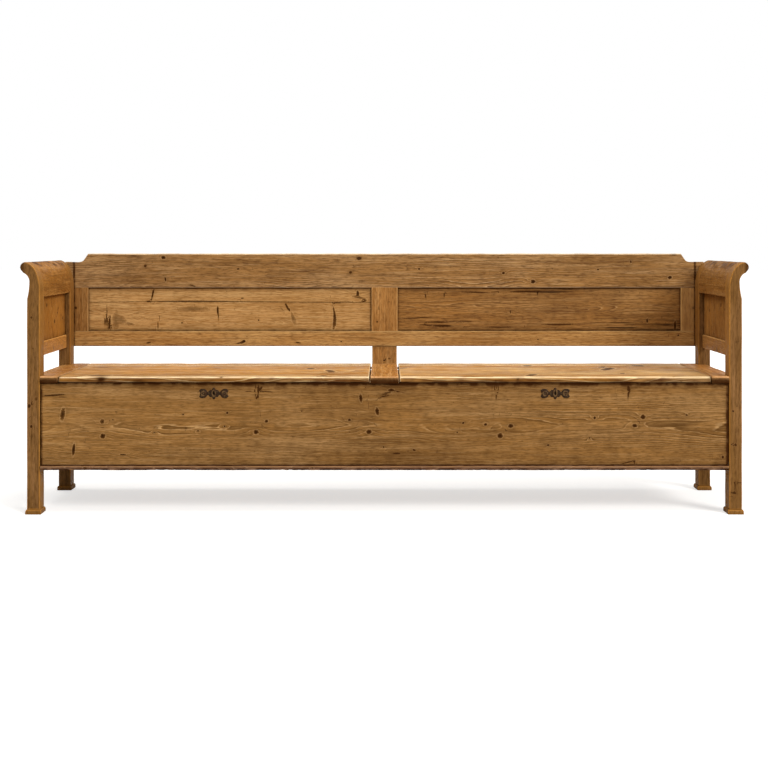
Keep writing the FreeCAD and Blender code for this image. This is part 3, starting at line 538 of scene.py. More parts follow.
def spots_mm(*rows):
    """Spots given in millimetres: along, across, half length, half width, tilt, darkness, taper and bow."""
    return [(*(MM * size for size in row[:4]), *row[4:]) for row in rows]


def edge_soil(low, high, axes, reach, strength):
    """Painted shade that fades away from the borders of a face over the reach given, where a frame shades
    the board in it.
    """
    def soil(points):
        gap = np.min([np.minimum(points[:, n] - low[n], high[n] - points[:, n]) for n in axes], axis=0)
        return strength * np.exp(-gap / reach)
    return soil


# Knots, scars and stains where they show on each board
FRONT_KNOTS = spots_mm(
    (-1058, 329, 7, 20, -8, 0.35), (-1022, 213, 5, 19, -6, 0.5), (-928, 305, 7, 7, 0, 0.35),
    (-926, 257, 8, 8, 0, 0.4), (-893, 310, 2.5, 2.5, 0, 0.6), (-662, 328, 3, 3, 0, 0.6),
    (-757, 269, 2.5, 2.5, 0, 0.5), (-613, 274, 3, 3, 0, 0.5), (-517, 333, 4, 4, 0, 0.6),
    (-526, 289, 3, 3, 0, 0.6), (-388, 306, 6, 5, 0, 0.45), (-422, 270, 8, 7, 0, 0.45),
    (-272, 339, 2.5, 2.5, 0, 0.5), (-115, 310, 5, 4, 0, 0.5), (-51, 271, 8.5, 7, 0, 0.5),
    (-24, 338, 6, 12, 10, 0.4), (-78, 382, 5, 13, 5, 0.45), (-3, 221, 3, 3, 0, 0.6),
    (97, 211, 5, 3.5, -15, 0.45), (259, 300, 4, 3.5, 0, 0.5), (332, 295, 5.5, 4.5, 0, 0.5),
    (415, 290, 8, 6.5, 0, 0.55), (380, 258, 8.5, 8, 0, 0.4), (239, 269, 2.5, 2.5, 0, 0.6),
    (538, 227, 4, 3, 0, 0.5), (691, 317, 4, 5, 0, 0.55), (674, 251, 4, 2, 40, 0.5),
    (850, 320, 8, 7, 0, 0.5), (823, 291, 8, 6, 0, 0.5), (993, 326, 4, 3, 0, 0.5),
    (1112, 188, 4, 5, 0, 0.6), (-424, 405, 1.4, 24, 0, 0.85), (-416, 406, 1.3, 22, 2, 0.85),
    (-420, 382, 4, 4, 0, 0.8), (-408, 412, 4, 9, -40, 0.8), (-385, 403, 22, 1.4, -3, 0.85),
    (-446, 404, 12, 1.4, 2, 0.8), (362, 411, 1.3, 16, 0, 0.85, 0, 1.5),
    (374, 411, 1.3, 16, 0, 0.85, 0, -1.5), (367, 387, 1.8, 10, 0, 0.85), (22, 408, 9, 5, 0, 0.5),
    (36, 405, 30, 1.3, -10, 0.85), (0, 395, 10, 2, 5, 0.85), (-2, 387, 18, 1.5, 12, 0.85),
    (800, 171, 24, 1.6, 14, 0.85), (822, 170, 1.5, 7, 0, 0.85), (829, 169, 1.3, 7, 0, 0.85),
    (-1090, 391, 42, 2.5, 4, 0.9), (40, 200, 12, 3, 0, 0.8), (803, 411, 5, 11, 15, 0.8),
    (801, 388, 1.4, 12, 0, 0.8), (-860, 196, 10, 2, 0, 0.7))
CREST_KNOTS = spots_mm(
    (-807, 839, 8, 6, 0, 0.6), (-873, 808, 5, 5, 0, 0.75), (-93, 836, 9, 6, 0, 0.85),
    (-124, 784, 6, 5, 0, 0.8), (-534, 797, 6, 3, 0, 0.6), (126, 797, 4, 4, 0, 0.6),
    (542, 751, 8, 7, 0, 0.7), (434, 782, 6, 4, 0, 0.6), (1042, 766, 7, 6, 0, 0.7),
    (899, 823, 3, 6, 0, 0.6), (779, 795, 4, 3, 0, 0.5), (-700, 736, 10, 2, -20, 0.85),
    (-800, 760, 3, 10, 10, 0.5), (1056, 849, 9, 3, 0, 0.9))
LOW_RAIL_KNOTS = spots_mm(
    (-513, 533, 7, 5, 15, 0.7), (-530, 526, 12, 2, 8, 0.8), (-861, 528, 8, 2.5, 10, 0.8),
    (-315, 528, 9, 2.5, -8, 0.8), (-158, 532, 3, 3, 0, 0.6), (560, 540, 3, 2, 0, 0.6),
    (1072, 555, 4, 3, 0, 0.7))
LEFT_PANEL_MARKS = spots_mm(
    (-1013, 620, 1.8, 44, 3, 0.8, -0.3, 0.2), (-1004, 596, 2.6, 20, 3, 0.8), (-1022, 604, 2, 14, 0, 0.8),
    (-982, 608, 12, 34, 0, 0.2), (-848, 702, 3.5, 22, -12, 0.38, 0.4, 0.2), (-862, 678, 7, 3, 0, 0.8),
    (-828, 592, 1.8, 12, 0, 0.8), (-608, 637, 1.8, 25, 3, 0.85), (-355, 656, 3.6, 16, 28, 0.8, 0.4, 0.2),
    (-334, 618, 7, 24, 20, 0.26, -0.3, 0), (-182, 622, 5.5, 44, 2, 0.36, -0.5, -1.2),
    (-170, 672, 14, 1.5, 0, 0.8), (-98, 706, 5, 12, 0, 0.38), (-74, 679, 9, 2.2, 14, 0.8),
    (-92, 692, 24, 4, -10, 0.3), (-965, 612, 26, 14, -30, 0.2), (-930, 596, 16, 4, -15, 0.24),
    (-700, 650, 60, 10, 0, 0.16), (-460, 610, 3, 3, 0, 0.6), (-520, 690, 5, 2, 0, 0.6),
    (-740, 600, 3, 3, 0, 0.4))
RIGHT_PANEL_KNOTS = spots_mm(
    (960, 608, 3.5, 8, 0, 0.5), (1062, 590, 5, 16, 0, 0.36), (218, 702, 2, 7, 0, 0.8),
    (460, 640, 2, 7, 0, 0.7), (150, 698, 2, 8, 10, 0.8), (212, 589, 34, 4, 0, 0.9),
    (180, 603, 40, 1.6, 2, 0.85), (290, 606, 30, 1.6, -2, 0.8), (150, 592, 20, 2, -4, 0.8),
    (560, 706, 1.6, 6, 0, 0.7), (640, 594, 60, 2.5, 1, 0.76), (420, 584, 50, 2, 0, 0.76),
    (120, 618, 60, 1.5, 3, 0.8), (330, 712, 50, 2.5, -1, 0.76), (520, 715, 60, 3, 1, 0.76))

# The crest's top at each end: how far out, and how far it drops there
CREST_STEP_X = np.array([1082, 1098, 1104, 1112, 1121, 1131, 1141, 1150, 1165]) * MM
CREST_DROP = np.array([0, 23.7, 27.6, 29.8, 30.4, 30.4, 30.2, 30, 30]) * MM
CREST_TOP_BAND = 36 * MM


def post_joint(points):
    """The dark joint between the back and the rear posts."""
    return 1.2 * np.exp(-((np.abs(points[:, 0]) - INNER) / (3.5 * MM)) ** 2)


def make_back():
    """The framed back: crest, rails, stiles, muntin, two panels and the short centre post."""
    joint_x = INNER + np.array([-7, -3.5, 0, 3.5]) * MM
    joint_lines = np.concatenate([-joint_x, joint_x])
    low, high = (np.array(corner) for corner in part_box("crest_rail"))
    crest_low = low[2]

    def stepped(points):
        """The top sinks over the last stretch at each end, and the board is squeezed down under it."""
        sink = np.interp(np.abs(points[:, 0]), CREST_STEP_X, CREST_DROP)
        share = np.clip((points[:, 2] - (high[2] - CREST_TOP_BAND)) / CREST_TOP_BAND, 0, 1)
        waved = 0.5 * MM * (1 + drift(points[:, :1], 5, 0.16)).clip(0, 2)
        return points - np.column_stack([np.zeros((len(points), 2)), share * (sink + waved)])

    def crest_soil(points):
        """Painted shade along the crest's lower edge over the panels and stiles, and the dark joint with the
        rear posts.
        """
        below = 0.85 * np.exp(-(points[:, 2] - low[2]) / (2 * MM))
        return below + post_joint(points)

    make_board(
        "crest_rail", LONG_FRONT, 11, PINE["crest"], pith=(0.715, low[1] - 45 * MM), ring=5.5 * MM,
        step=FINE_STEP, spots=CREST_KNOTS, bend=stepped, radii=3 * MM, soil=crest_soil,
        # a pale band along the top edge: rubbed wear and a painted highlight where it faces the light
        rub=lambda points, away: (points[:, 2] > high[2] - 3.5 * MM) * 0.25,
        extra=(np.concatenate([-CREST_STEP_X, CREST_STEP_X, joint_lines]), (), ()))
    rail_low, rail_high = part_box("back_lower_rail")

    def rail_soil(points):
        """Painted shade in a dark line under the panels and another along the lower edge, and the dark joint
        with the rear posts.
        """
        above = 0.8 * np.exp(-(rail_high[2] - points[:, 2]) / (1.6 * MM))
        return above + post_joint(points) + 0.55 * np.exp(-(points[:, 2] - rail_low[2]) / (3.5 * MM))

    make_board("back_lower_rail", LONG_FRONT, 12, PINE["low_rail"], pith=(0.50, low[1] - 30 * MM),
               soil=rail_soil, extra=(joint_lines, (), ()), spots=LOW_RAIL_KNOTS)
    # The left stile is darkened and the right lightened evenly: painted shade and painted light for how the
    # lamp falls on each.
    for node, seed, grime_and_shade, rubbed, spots in (
            ("back_stile_left", 12, 0.2, 0.0, spots_mm((655, -1127, 5, 4, 0, 0.85))),
            ("back_stile_right", 14, 0.0, 0.4, spots_mm((655, 1127, 5, 4, 0, 0.85))),
            ("back_muntin", 16, 0.0, 0.0, spots_mm((604, -27, 3, 3, 0, 0.95), (650, -20, 2, 2, 0, 0.5)))):
        low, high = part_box(node)
        make_board(node, TALL_FRONT, seed, PINE["rail"],
                   (low[0], low[1] + JOINT_STEP, rail_high[2] - JOINT_LAP),
                   (high[0], high[1] - JOINT_STEP, crest_low + JOINT_LAP), ring=4 * MM, spots=spots,
                   soil=lambda points: grime_and_shade + post_joint(points), rub=evenly(rubbed),
                   extra=(joint_lines, (), ()), pith=(high[0] + 90 * MM, low[1] - 30 * MM))
    low, high = (np.array(corner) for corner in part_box("back_panel_left"))
    groove = 8.1 * MM
    line_high, widest, wider_from = 0.6765, -0.69, -0.86

    def glued_line(points):
        """Distance from the opened joint, a line that bows and gapes where the left panel's boards meet."""
        x = points[:, 0]
        gape = 0.85 + 1.4 * np.exp(-((x - widest) / 0.11) ** 2)
        gape += 0.3 * np.clip((x - wider_from) / 0.05, 0, 1)
        return (points[:, 2] - line_high - 1.6 * MM * np.cos((x - widest) * 6)) / gape

    make_board("back_panel_left", LONG_FRONT, 17, PINE["left_panel"], pith=(0.60, low[1] - 10 * MM),
               ring=7 * MM, radii=1.2 * MM, step=FINE_STEP, spots=LEFT_PANEL_MARKS, joint=glued_line,
               soil=edge_soil(low + groove, high - groove, (0, 2), 4.5 * MM, 0.95))
    low, high = (np.array(corner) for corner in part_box("back_panel_right"))
    make_board("back_panel_right", LONG_FRONT, 18, PINE["right_panel"], pith=(0.655, low[1] - 6 * MM),
               ring=6 * MM, radii=1.2 * MM, step=FINE_STEP, spots=RIGHT_PANEL_KNOTS,
               soil=edge_soil(low + groove, high - groove, (0, 2), 4.5 * MM, 0.95))
    # The centre post is darkened at its top, under the lower rail: painted shade in the joint.
    make_board("centre_post", TALL_FRONT, 19, PINE["rail"], ring=4 * MM, pith=(0.16, 0.2),
               spots=spots_mm((463, -2, 3, 3, 0, 0.7), (470, 17, 4, 6, 20, 0.3)),
               soil=lambda points: 0.7 * np.exp(-np.abs(points[:, 2] - rail_low[2]) / (4 * MM)))


def seat_radii(points, low, high):
    """Front edge rounded over the top, and a half round about the hinge axis at the rear."""
    half_round, nose, small = 9.9 * MM, 7 * MM, 2 * MM
    middle = (low + high) / 2
    rear = points[:, 1] > middle[1]
    above = points[:, 2] > middle[2]
    edge = np.where(rear, half_round, np.where(above, nose, small))
    return np.column_stack([np.full(len(points), small), edge, edge])


LID_SPOTS = {
    "left": spots_mm((-945, -215, 34, 26, 5, 0.3), (-990, 70, 45, 20, 0, 0.24), (-259, 38, 14, 20, 0, 0.4),
                     (-186, -60, 15, 44, 12, 0.35), (-200, -236, 13, 14, -4, 0.5),
                     (-560, 60, 70, 14, 0, 0.24), (-190, -130, 40, 12, -4, 0.24)),
    "right": spots_mm((66, 50, 8, 24, -30, 0.5), (514, 153, 16, 36, -12, 0.5), (489, -205, 15, 30, -30, 0.4),
                      (778, 16, 18, 52, -24, 0.38), (770, 90, 9, 26, -30, 0.5), (905, 153, 22, 36, 10, 0.5),
                      (800, -150, 7, 14, -40, 0.5), (680, -60, 60, 14, 0, 0.24)),
}
# Dark marks on the lids' front edge: x, z, half length and half height in mm, and how dark
NOSE_MARKS = ((-931, 443, 20, 9.5, 1.0), (-537, 451, 4, 3, 0.8), (439, 444, 3.5, 4, 0.9))


def nose_soil(points):
    """Grime from hands and painted shade on the front edge of the seat, and at the outer end of each lid.

    It covers the edge's lower half, with dirt and the painted shade of its downward face, stronger and
    weaker along it, and its last few millimetres with a painted shadow in the gap above the board below.
    """
    y, z = points[:, 1], points[:, 2]
    low_half = np.clip((SEAT_TOP - 5.5 * MM - z) / (6 * MM), 0, 1) * (y < SEAT_FRONT + 6.5 * MM)
    lowest = np.clip((SEAT_TOP - 16.5 * MM - z) / (2 * MM), 0, 1) * (y < SEAT_FRONT + 9.5 * MM)
    outer = 0.7 * np.exp(-np.abs(LID_END - np.abs(points[:, 0])) / (5 * MM))
    # stain: dirt and painted shade over the edge's lower half, which faces down
    stain = low_half * (0.42 + 0.13 * drift(points[:, :1], 4, 0.21))
    layers = [stain, 0.95 * lowest, outer]
    for *place, dark in NOSE_MARKS:
        mark_x, mark_z, half_long, half_high = (MM * size for size in place)
        far = ((points[:, 0] - mark_x) / half_long) ** 2 + ((z - mark_z) / half_high) ** 2
        layers.append(dark * np.exp(-far) * (y < SEAT_FRONT + 7.5 * MM))
    return np.max(layers, axis=0)


def front_edge_rub(points, away):
    """A pale line along the top of the seat's front edge: rubbed wear and a painted highlight."""
    line = np.exp(-((points[:, 2] - (SEAT_TOP - 1.5 * MM)) / (3.6 * MM)) ** 2)
    return line * (points[:, 1] < SEAT_FRONT + 5.5 * MM)


def make_seat():
    """Two lids, the end strips beside them, the centre block and the rear rails."""
    darker_from, narrow_wide = 0.158, 58 * MM
    notch = np.array(POST_GAP)
    notch_ends = notch + [-0.5 * MM, 0.5 * MM]
    for side, way in SIDES:
        low, high = (np.array(corner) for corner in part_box(f"seat_lid_{side}"))
        # The lids are darker over their rear part, behind the depth given above, and their front edge
        # carries grime, painted shade and a painted highlight.
        lid = make_board(
            f"seat_lid_{side}", LONG_TOP, 30 + way, PINE["seat"], pith=(-0.06, low[2] - 140 * MM),
            ring=11 * MM, radii=seat_radii, edge=9 * MM, step=FINE_STEP * 1.4, spots=LID_SPOTS[side],
            soil=lambda points: np.maximum(nose_soil(points), 0.5 * (points[:, 1] > darker_from)),
            rub=lambda points, away: 0.6 * front_edge_rub(points, away))
        bare_below(lid, low[2] + 3 * MM)
        strip_low, strip_high = (np.array(corner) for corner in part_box(f"seat_end_strip_{side}"))

        def notched(points, near=way * STRIP_EDGE, share=narrow_wide / (strip_high[0] - strip_low[0])):
            """The strip keeps its whole width between the posts, and is squeezed before and behind them."""
            inside = np.interp(points[:, 1], [notch_ends[0], *notch, notch_ends[1]], [0, 1, 1, 0])
            moved = points.copy()
            moved[:, 0] = near + (points[:, 0] - near) * (share + (1 - share) * inside)
            return moved

        make_board(f"seat_end_strip_{side}", DEEP_TOP, 33 + way, PINE["strip"], ring=4 * MM, bend=notched,
                   extra=((), (*notch_ends, *notch), ()), radii=3 * MM, soil=nose_soil,
                   rub=front_edge_rub)
        make_board(f"rear_seat_rail_{side}", LONG_TOP, 36 + way, PINE["seat"], ring=4 * MM)
    make_board("centre_seat_block", DEEP_TOP, 39, PINE["strip"], ring=4 * MM, radii=3 * MM, pith=(0.0, 0.40),
               soil=nose_soil, rub=front_edge_rub)


LOCK_X = 0.561
LOCK_Z = 0.397
PLATE_HALF_WIDE = 49 * MM
PLATE_HALF_HIGH = 14.5 * MM
# The keyhole plate's outline: shares of its half width, and half its height there
PLATE_OUTLINE = (
    (0, 1.34), (0.06, 1.28), (0.10, 0.95), (0.14, 0.78), (0.24, 0.82), (0.31, 0.62), (0.37, 0.34),
    (0.43, 0.36), (0.50, 0.70), (0.60, 0.98), (0.74, 1.06), (0.86, 1.04), (0.94, 0.88), (0.99, 0.62))
HOLE_HALF_WIDE = 1.9 * MM
HOLE_DOWN = 5 * MM
HOLE_UP = 7 * MM


def sink_keyholes(points, front, room, depth):
    """Points of the front face within a keyhole and the room round it go back by the depth."""
    across = np.abs(np.abs(points[:, 0]) - LOCK_X) < HOLE_HALF_WIDE + room
    up = (points[:, 2] > LOCK_Z - HOLE_DOWN - room) & (points[:, 2] < LOCK_Z + HOLE_UP + room)
    points[across & up & (points[:, 1] < front), 1] += depth
    return points


def hole_lines(middle, down, up, room):
    """Grid lines just inside and just outside a keyhole's edges."""
    edge = np.array([-0.15, 0.15]) * MM
    return np.concatenate([middle - down - room + edge, middle + up + room + edge])


def make_front():
    """The wide front board with its notches and keyholes, and the moulding under it."""
    low, high = (np.array(corner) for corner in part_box("front_panel"))
    notch_x = np.array([0, 0.0485, 0.0490, LID_END, LID_END + 0.5 * MM, 1.131])
    notch_drop = np.array([4, 4, 0, 0, 4, 4]) * MM
    notch_low = 0.42
    room, pocket = 0.8 * MM, 14 * MM

    def notched(points):
        """The top is let down where the strips and the block rest, and each keyhole is a deep pocket."""
        drop = np.interp(np.abs(points[:, 0]), notch_x, notch_drop)
        share = np.clip((points[:, 2] - notch_low) / (high[2] - notch_low), 0, 1)
        moved = points - np.column_stack([np.zeros((len(points), 2)), share * drop])
        return sink_keyholes(moved, low[1] + 2 * MM, room, pocket)

    def soil(points):
        """Painted shadow under the lid, darker towards the bottom, painted shade in the corner with the
        moulding and in the gaps at both ends, and painted shade a little all over but at the left.
        """
        x, z = points[:, 0], points[:, 2]
        # under: painted shadow below the lid's nose. bottom: darker towards the bottom, in uneven streaks.
        # corner: painted shade where the board meets the moulding. ends: painted shade in the gaps beside
        # the posts. all_over: painted shade growing from the left towards the right.
        under = 1.25 * np.exp(-(high[2] - z) / (10 * MM))
        bottom = 0.21 * np.exp(-(z - low[2]) / (60 * MM)) * (1 + 0.3 * drift(points[:, :1], 8, 0.8))
        corner = 0.8 * np.exp(-(z - low[2]) / (2.5 * MM))
        ends = np.exp(-((high[0] - np.abs(x)) / np.where(x < 0, 6 * MM, 9 * MM)) ** 4)
        all_over = 0.24 * np.clip((x + 1.0) / 0.7, 0, 1)
        return np.max([under, bottom, corner, ends], axis=0) + all_over

    hole_x = hole_lines(LOCK_X, HOLE_HALF_WIDE, HOLE_HALF_WIDE, room)
    hole_z = hole_lines(LOCK_Z, HOLE_DOWN, HOLE_UP, room)
    make_board("front_panel", LONG_FRONT, 50, PINE["front"], pith=(0.292, low[1] + 58 * MM), ring=4.6 * MM,
               step=FINE_STEP, spots=FRONT_KNOTS, bend=notched, soil=soil, radii=1.5 * MM, wander=5 * MM,
               extra=(np.concatenate([notch_x, -notch_x, hole_x, -hole_x]), (), (notch_low, *hole_z)))

    low, high = (np.array(corner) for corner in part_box("front_moulding"))

    def chipped(points):
        """The lower edge is worn back in bites that come in clusters along it."""
        x = points[:, :1]
        cluster = np.clip(0.5 + drift(x, 10, 0.4, 2), 0, 1.4)
        bite = 0.45 * MM * np.clip(drift(x, 9, 0.035, 3), 0, 1.3) * cluster
        share = np.clip((high[2] - points[:, 2]) / (high[2] - low[2]), 0, 1)
        share = share * np.clip((low[1] + 15 * MM - points[:, 1]) / (9 * MM), 0, 1)
        return points + np.column_stack([np.zeros(len(points)), share * bite, share * bite * 1.3])

    def nosed(points, low, high):
        """The front is a nose, rounder than it is deep, and the other edges are sharp."""
        front = points[:, 1] < (low[1] + high[1]) / 2
        return np.column_stack([np.full(len(points), 1 * MM), np.where(front, 4.5 * MM, 1 * MM),
                                np.where(front, 8.4 * MM, 1 * MM)])

    def moulding_soil(points):
        """Painted shade in the corner above the nose, and dirt and painted shade in patches on its worn
        underside.
        """
        above = np.clip((points[:, 2] - (high[2] - 3.6 * MM)) / (1.5 * MM), 0, 1)
        below = np.clip((low[2] + 9 * MM - points[:, 2]) / (5 * MM), 0, 1)
        return 0.95 * above + below * np.clip(0.7 + 0.5 * drift(points[:, :1], 12, 0.09), 0.2, 1)

    def moulding_rub(points, away):
        """A painted highlight along the middle of the nose, where it faces the light."""
        return 0.6 * np.exp(-((points[:, 2] - low[2] - 12.5 * MM) / (2 * MM)) ** 2)

    make_board("front_moulding", LONG_FRONT, 52, PINE["moulding"], radii=nosed, edge=8 * MM, step=6 * MM,
               bend=chipped, ring=3 * MM, soil=moulding_soil, rub=moulding_rub,
               spots=chance_spots(5, 9, (-1.1, 1.1), (0.147, 0.16), 3 * MM))


def make_escutcheons():
    """Two cast iron keyhole plates, one piece.

    At a share u of the half width a plate is twice H(|u|) high, with H the outline above, and its ends
    are hollowed by a parabola. The face rises in a ring round each lobe and round the keyhole and falls
    away at the rim.
    """
    low, high = (np.array(corner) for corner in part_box("escutcheons"))
    hollow, lobe_out, lobe_ring, hole_ring = 4 * MM, 34 * MM, 7 * MM, 5.5 * MM
    ring_wide, ring_high, rim_wide = 2.2 * MM, 1.7 * MM, 2.5 * MM
    points, quads = lattice(np.unique(np.concatenate([
        np.linspace(-1, 1, 121), hole_lines(0, HOLE_HALF_WIDE, HOLE_HALF_WIDE, 0) / PLATE_HALF_WIDE])),
        np.array([0.0, 1.0]), np.linspace(-1, 1, 49))
    u, back, v = points.T
    half = PLATE_HALF_HIGH * np.interp(np.abs(u), *zip(*PLATE_OUTLINE))
    pulled = hollow * (1 - v ** 2) * np.clip((np.abs(u) - 0.72) / 0.28, 0, 1)
    x, z = PLATE_HALF_WIDE * 0.99 * u - np.sign(u) * pulled, v * half
    lobe = np.hypot(np.abs(x) - lobe_out, z)
    hole = np.hypot(x, (z - MM) * 0.6)
    raised = ring_high * (np.exp(-((lobe - lobe_ring) / ring_wide) ** 2) + np.exp(-(lobe / ring_wide) ** 2)
                          + np.exp(-((hole - hole_ring) / ring_wide) ** 2))
    rim = np.clip(np.minimum((1 - np.abs(v)) * half, (1 - np.abs(u)) * PLATE_HALF_WIDE) / rim_wide, 0, 1)
    y = np.where(back > 0.5, high[1] + 0.4 * MM, high[1] - (0.6 * MM + 1.2 * MM * rim + raised * rim))
    in_hole = (np.abs(x) < HOLE_HALF_WIDE) & (z > -HOLE_DOWN) & (z < HOLE_UP)
    y[in_hole] = high[1] + 9 * MM
    marks = {"raised": raised / ring_high}
    both = [(np.column_stack([x + way * LOCK_X, y, z + LOCK_Z]), quads, marks) for _, way in SIDES]
    points, quads, marks = joined(both)
    return finish_piece("escutcheons", points, quads, FORGED_IRON, marks)


def arc(start, middle, end, count):
    """Points on the circle through three points, from the first to the last."""
    (ax, ay), (bx, by), (cx, cy) = start, middle, end
    d = 2 * (ax * (by - cy) + bx * (cy - ay) + cx * (ay - by))
    far_a, far_b, far_c = ax ** 2 + ay ** 2, bx ** 2 + by ** 2, cx ** 2 + cy ** 2
    ux = (far_a * (by - cy) + far_b * (cy - ay) + far_c * (ay - by)) / d
    uy = (far_a * (cx - bx) + far_b * (ax - cx) + far_c * (bx - ax)) / d
    angles = [math.atan2(y - uy, x - ux) for x, y in (start, middle, end)]
    sweep = (angles[2] - angles[0]) % (2 * math.pi)
    if (angles[1] - angles[0]) % (2 * math.pi) > sweep:
        sweep -= 2 * math.pi
    turn = angles[0] + sweep * np.linspace(0, 1, count)
    radius = math.hypot(ax - ux, ay - uy)
    return np.column_stack([ux + radius * np.cos(turn), uy + radius * np.sin(turn)])


NOSE = (OUTER + 5.5 * MM, ARM_TOP - 17 * MM)
NOSE_RADIUS = 17 * MM


def on_nose(degrees):
    """A point on the rolled nose at an angle from its outward side."""
    turn = math.radians(degrees)
    return (NOSE[0] + NOSE_RADIUS * math.cos(turn), NOSE[1] + NOSE_RADIUS * math.sin(turn))


def beside(side, out, down):
    """A point so far out from a post's side and so far under the arms' tops, both in millimetres."""
    return (side + out * MM, ARM_TOP - down * MM)


SHOULDER_Z = ARM_TOP - 125 * MM
OUTSIDE = np.concatenate([
    [(OUTER, SHOULDER_Z)],
    arc((OUTER, SHOULDER_Z + 4 * MM), beside(OUTER, -4.6, 98), beside(OUTER, -7.5, 72), 9),
    arc(beside(OUTER, -7.4, 70), beside(OUTER, -0.9, 45.5), beside(OUTER, 13.9, 34.7), 16),
    arc(on_nose(-52), on_nose(-42), on_nose(-32), 7)])
INSIDE = np.concatenate([
    [(INNER, SHOULDER_Z), beside(INNER, 0, 84)],
    arc(beside(INNER, 0.4, 80), beside(INNER, 3.6, 60), beside(INNER, 8.5, 42), 8),
    arc(beside(INNER, 9, 41), beside(INNER, 22.3, 16.6), (NOSE[0], ARM_TOP), 14),
    arc(on_nose(84), on_nose(35), on_nose(-14), 14)])


def along_line(line, share):
    """Points at shares of a line's length."""
    lengths = np.concatenate([[0], np.cumsum(np.linalg.norm(np.diff(line, axis=0), axis=1))])
    return np.column_stack([np.interp(share * lengths[-1], lengths, line[:, n]) for n in (0, 1)])


def make_scroll(node, axes, way, seed, low_z, material, **shape):
    """A post or arm rail: a straight board up to the shoulder, bent outwards above it.

    The worn box is as long as the inside line. Above the shoulder a point at a share of that length lies
    between the two lines at that share, as far across as it was across the box.
    """
    low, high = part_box(node)
    wide = OUTER - INNER
    bent_long = 190 * MM
    box_low = (INNER, low[1], low_z)
    box_high = (OUTER, high[1], SHOULDER_Z + bent_long)

    def scrolled(points):
        """Each point above the shoulder goes to its place between the two lines."""
        moved = points.copy()
        share = np.clip((points[:, 2] - SHOULDER_Z) / bent_long, 0, 1)
        across = ((points[:, 0] - INNER) / wide)[:, None]
        place = along_line(INSIDE, share) * (1 - across) + along_line(OUTSIDE, share) * across
        bent = points[:, 2] > SHOULDER_Z
        moved[bent, 0] = place[bent, 0]
        moved[bent, 2] = place[bent, 1]
        if way < 0:
            moved[:, 0] *= -1
        return moved

    places = SHOULDER_Z + bent_long * np.linspace(0, 1, 48)
    points, quads, marks = board_skin(box_low, box_high, axes, seed, bend=scrolled,
                                      extra=((), (), places), **shape)
    if way < 0:
        quads = quads[:, ::-1]
    return finish_piece(node, points, quads, material, marks)


# The lines round a piece let into the right front post, above its foot
REPAIR = spots_mm((104, 1163, 1.2, 11, 0, 0.8), (93, 1152, 11, 1.2, 0, 0.8), (70, 1146, 2, 10, 12, 0.85))


def nose_end_soil(points):
    """Grime in the end grain of a post's rolled nose."""
    past_side = np.clip((np.abs(points[:, 0]) - (OUTER + 5 * MM)) / (9 * MM), 0, 1)
    return 0.6 * past_side * (points[:, 2] > SHOULDER_Z)


def inner_rub(points, away):
    """Rubbing on the inner side of a post, where people sit against it, and painted light on that side."""
    return 0.45 * np.clip(-away[:, 0], 0, 1)


def arm_soil(points):
    """Grime all over an arm rail, in patches on the top of its roll, where hands rest."""
    top = np.clip((points[:, 2] - (ARM_TOP - 25 * MM)) / (12 * MM), 0, 1)
    return 0.16 + top * 0.5 * np.clip(0.35 + drift(points, 14, 0.06), 0, 1)


def panel_soil(points):
    """Painted shade where an arm panel meets its frame, deepest in the corner with the rear post."""
    rear = 0.9 * np.exp(-(POST_GAP[1] - points[:, 1]) / (16 * MM))
    low, high = zip((0, 0), POST_GAP, ARM_OPENING)
    return rear + edge_soil(low, high, (1, 2), 8 * MM, 0.5)(points)


def make_ends():
    """Posts, feet, arm rails, arm panels, lower rails and end boards."""
    for side, way in SIDES:
        for number, place in enumerate(("front", "rear")):
            node = f"post_{place}_{side}"
            x = way * (INNER + OUTER) / 2
            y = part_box(node)[0][1]
            knots = chance_spots(60 + number + 3 * way, 5, (0.1, 0.75), (x - 0.02, x + 0.02), 3.5 * MM)
            knots += REPAIR if node == "post_front_right" else []
            # The rear posts take a little more darkening all over: painted shade, as they stand in shadow
            # behind the front ones.
            make_scroll(node, TALL_FRONT, way, 61 + 5 * number + way, 16 * MM, PINE["post"], ring=4 * MM,
                        spots=knots, pith=(x - way * 0.10, y - 0.05), radii=HAND_WEAR,
                        soil=lambda points: nose_end_soil(points) + 0.14 * number, rub=inner_rub)
            make_foot(f"foot_{place}_{side}", 70 + 2 * number + way)
        look = PINE[f"arm_{side}"]
        more = 0.08 if way < 0 else 0.02
        make_scroll(f"arm_rail_{side}", DEEP_SIDE, way, 75 + way, ARM_OPENING[1], look, ring=5 * MM,
                    radii=1.5 * MM, pith=(0.70, way * 1.08), soil=lambda points: arm_soil(points) + more)
        make_board(f"arm_panel_{side}", TALL_SIDE, 78 + way, look, ring=5 * MM, radii=1 * MM,
                   spots=chance_spots(79 + way, 7, (0.57, 0.70), (-0.18, 0.17), 4 * MM), soil=panel_soil)
        low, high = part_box(f"arm_lower_rail_{side}")
        make_board(f"arm_lower_rail_{side}", DEEP_SIDE, 81 + way, look, (low[0], POST_GAP[0], low[2]),
                   (high[0], POST_GAP[1], high[2]), ring=4 * MM, rub=evenly(0.3),
                   spots=chance_spots(82 + way, 3, (-0.1, 0.1), (0.52, 0.55)))
        low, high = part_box(f"end_board_{side}")
        frame_low, frame_high = (0, POST_GAP[0], low[2]), (0, POST_GAP[1], high[2])
        make_board(f"end_board_{side}", DEEP_SIDE, 84 + way, PINE["post"], ring=6 * MM,
                   pith=(0.30, way * 1.14), soil=edge_soil(frame_low, frame_high, (1, 2), 12 * MM, 0.45),
                   spots=chance_spots(85 + way, 6, (-0.18, 0.17), (0.18, 0.42), 6 * MM))


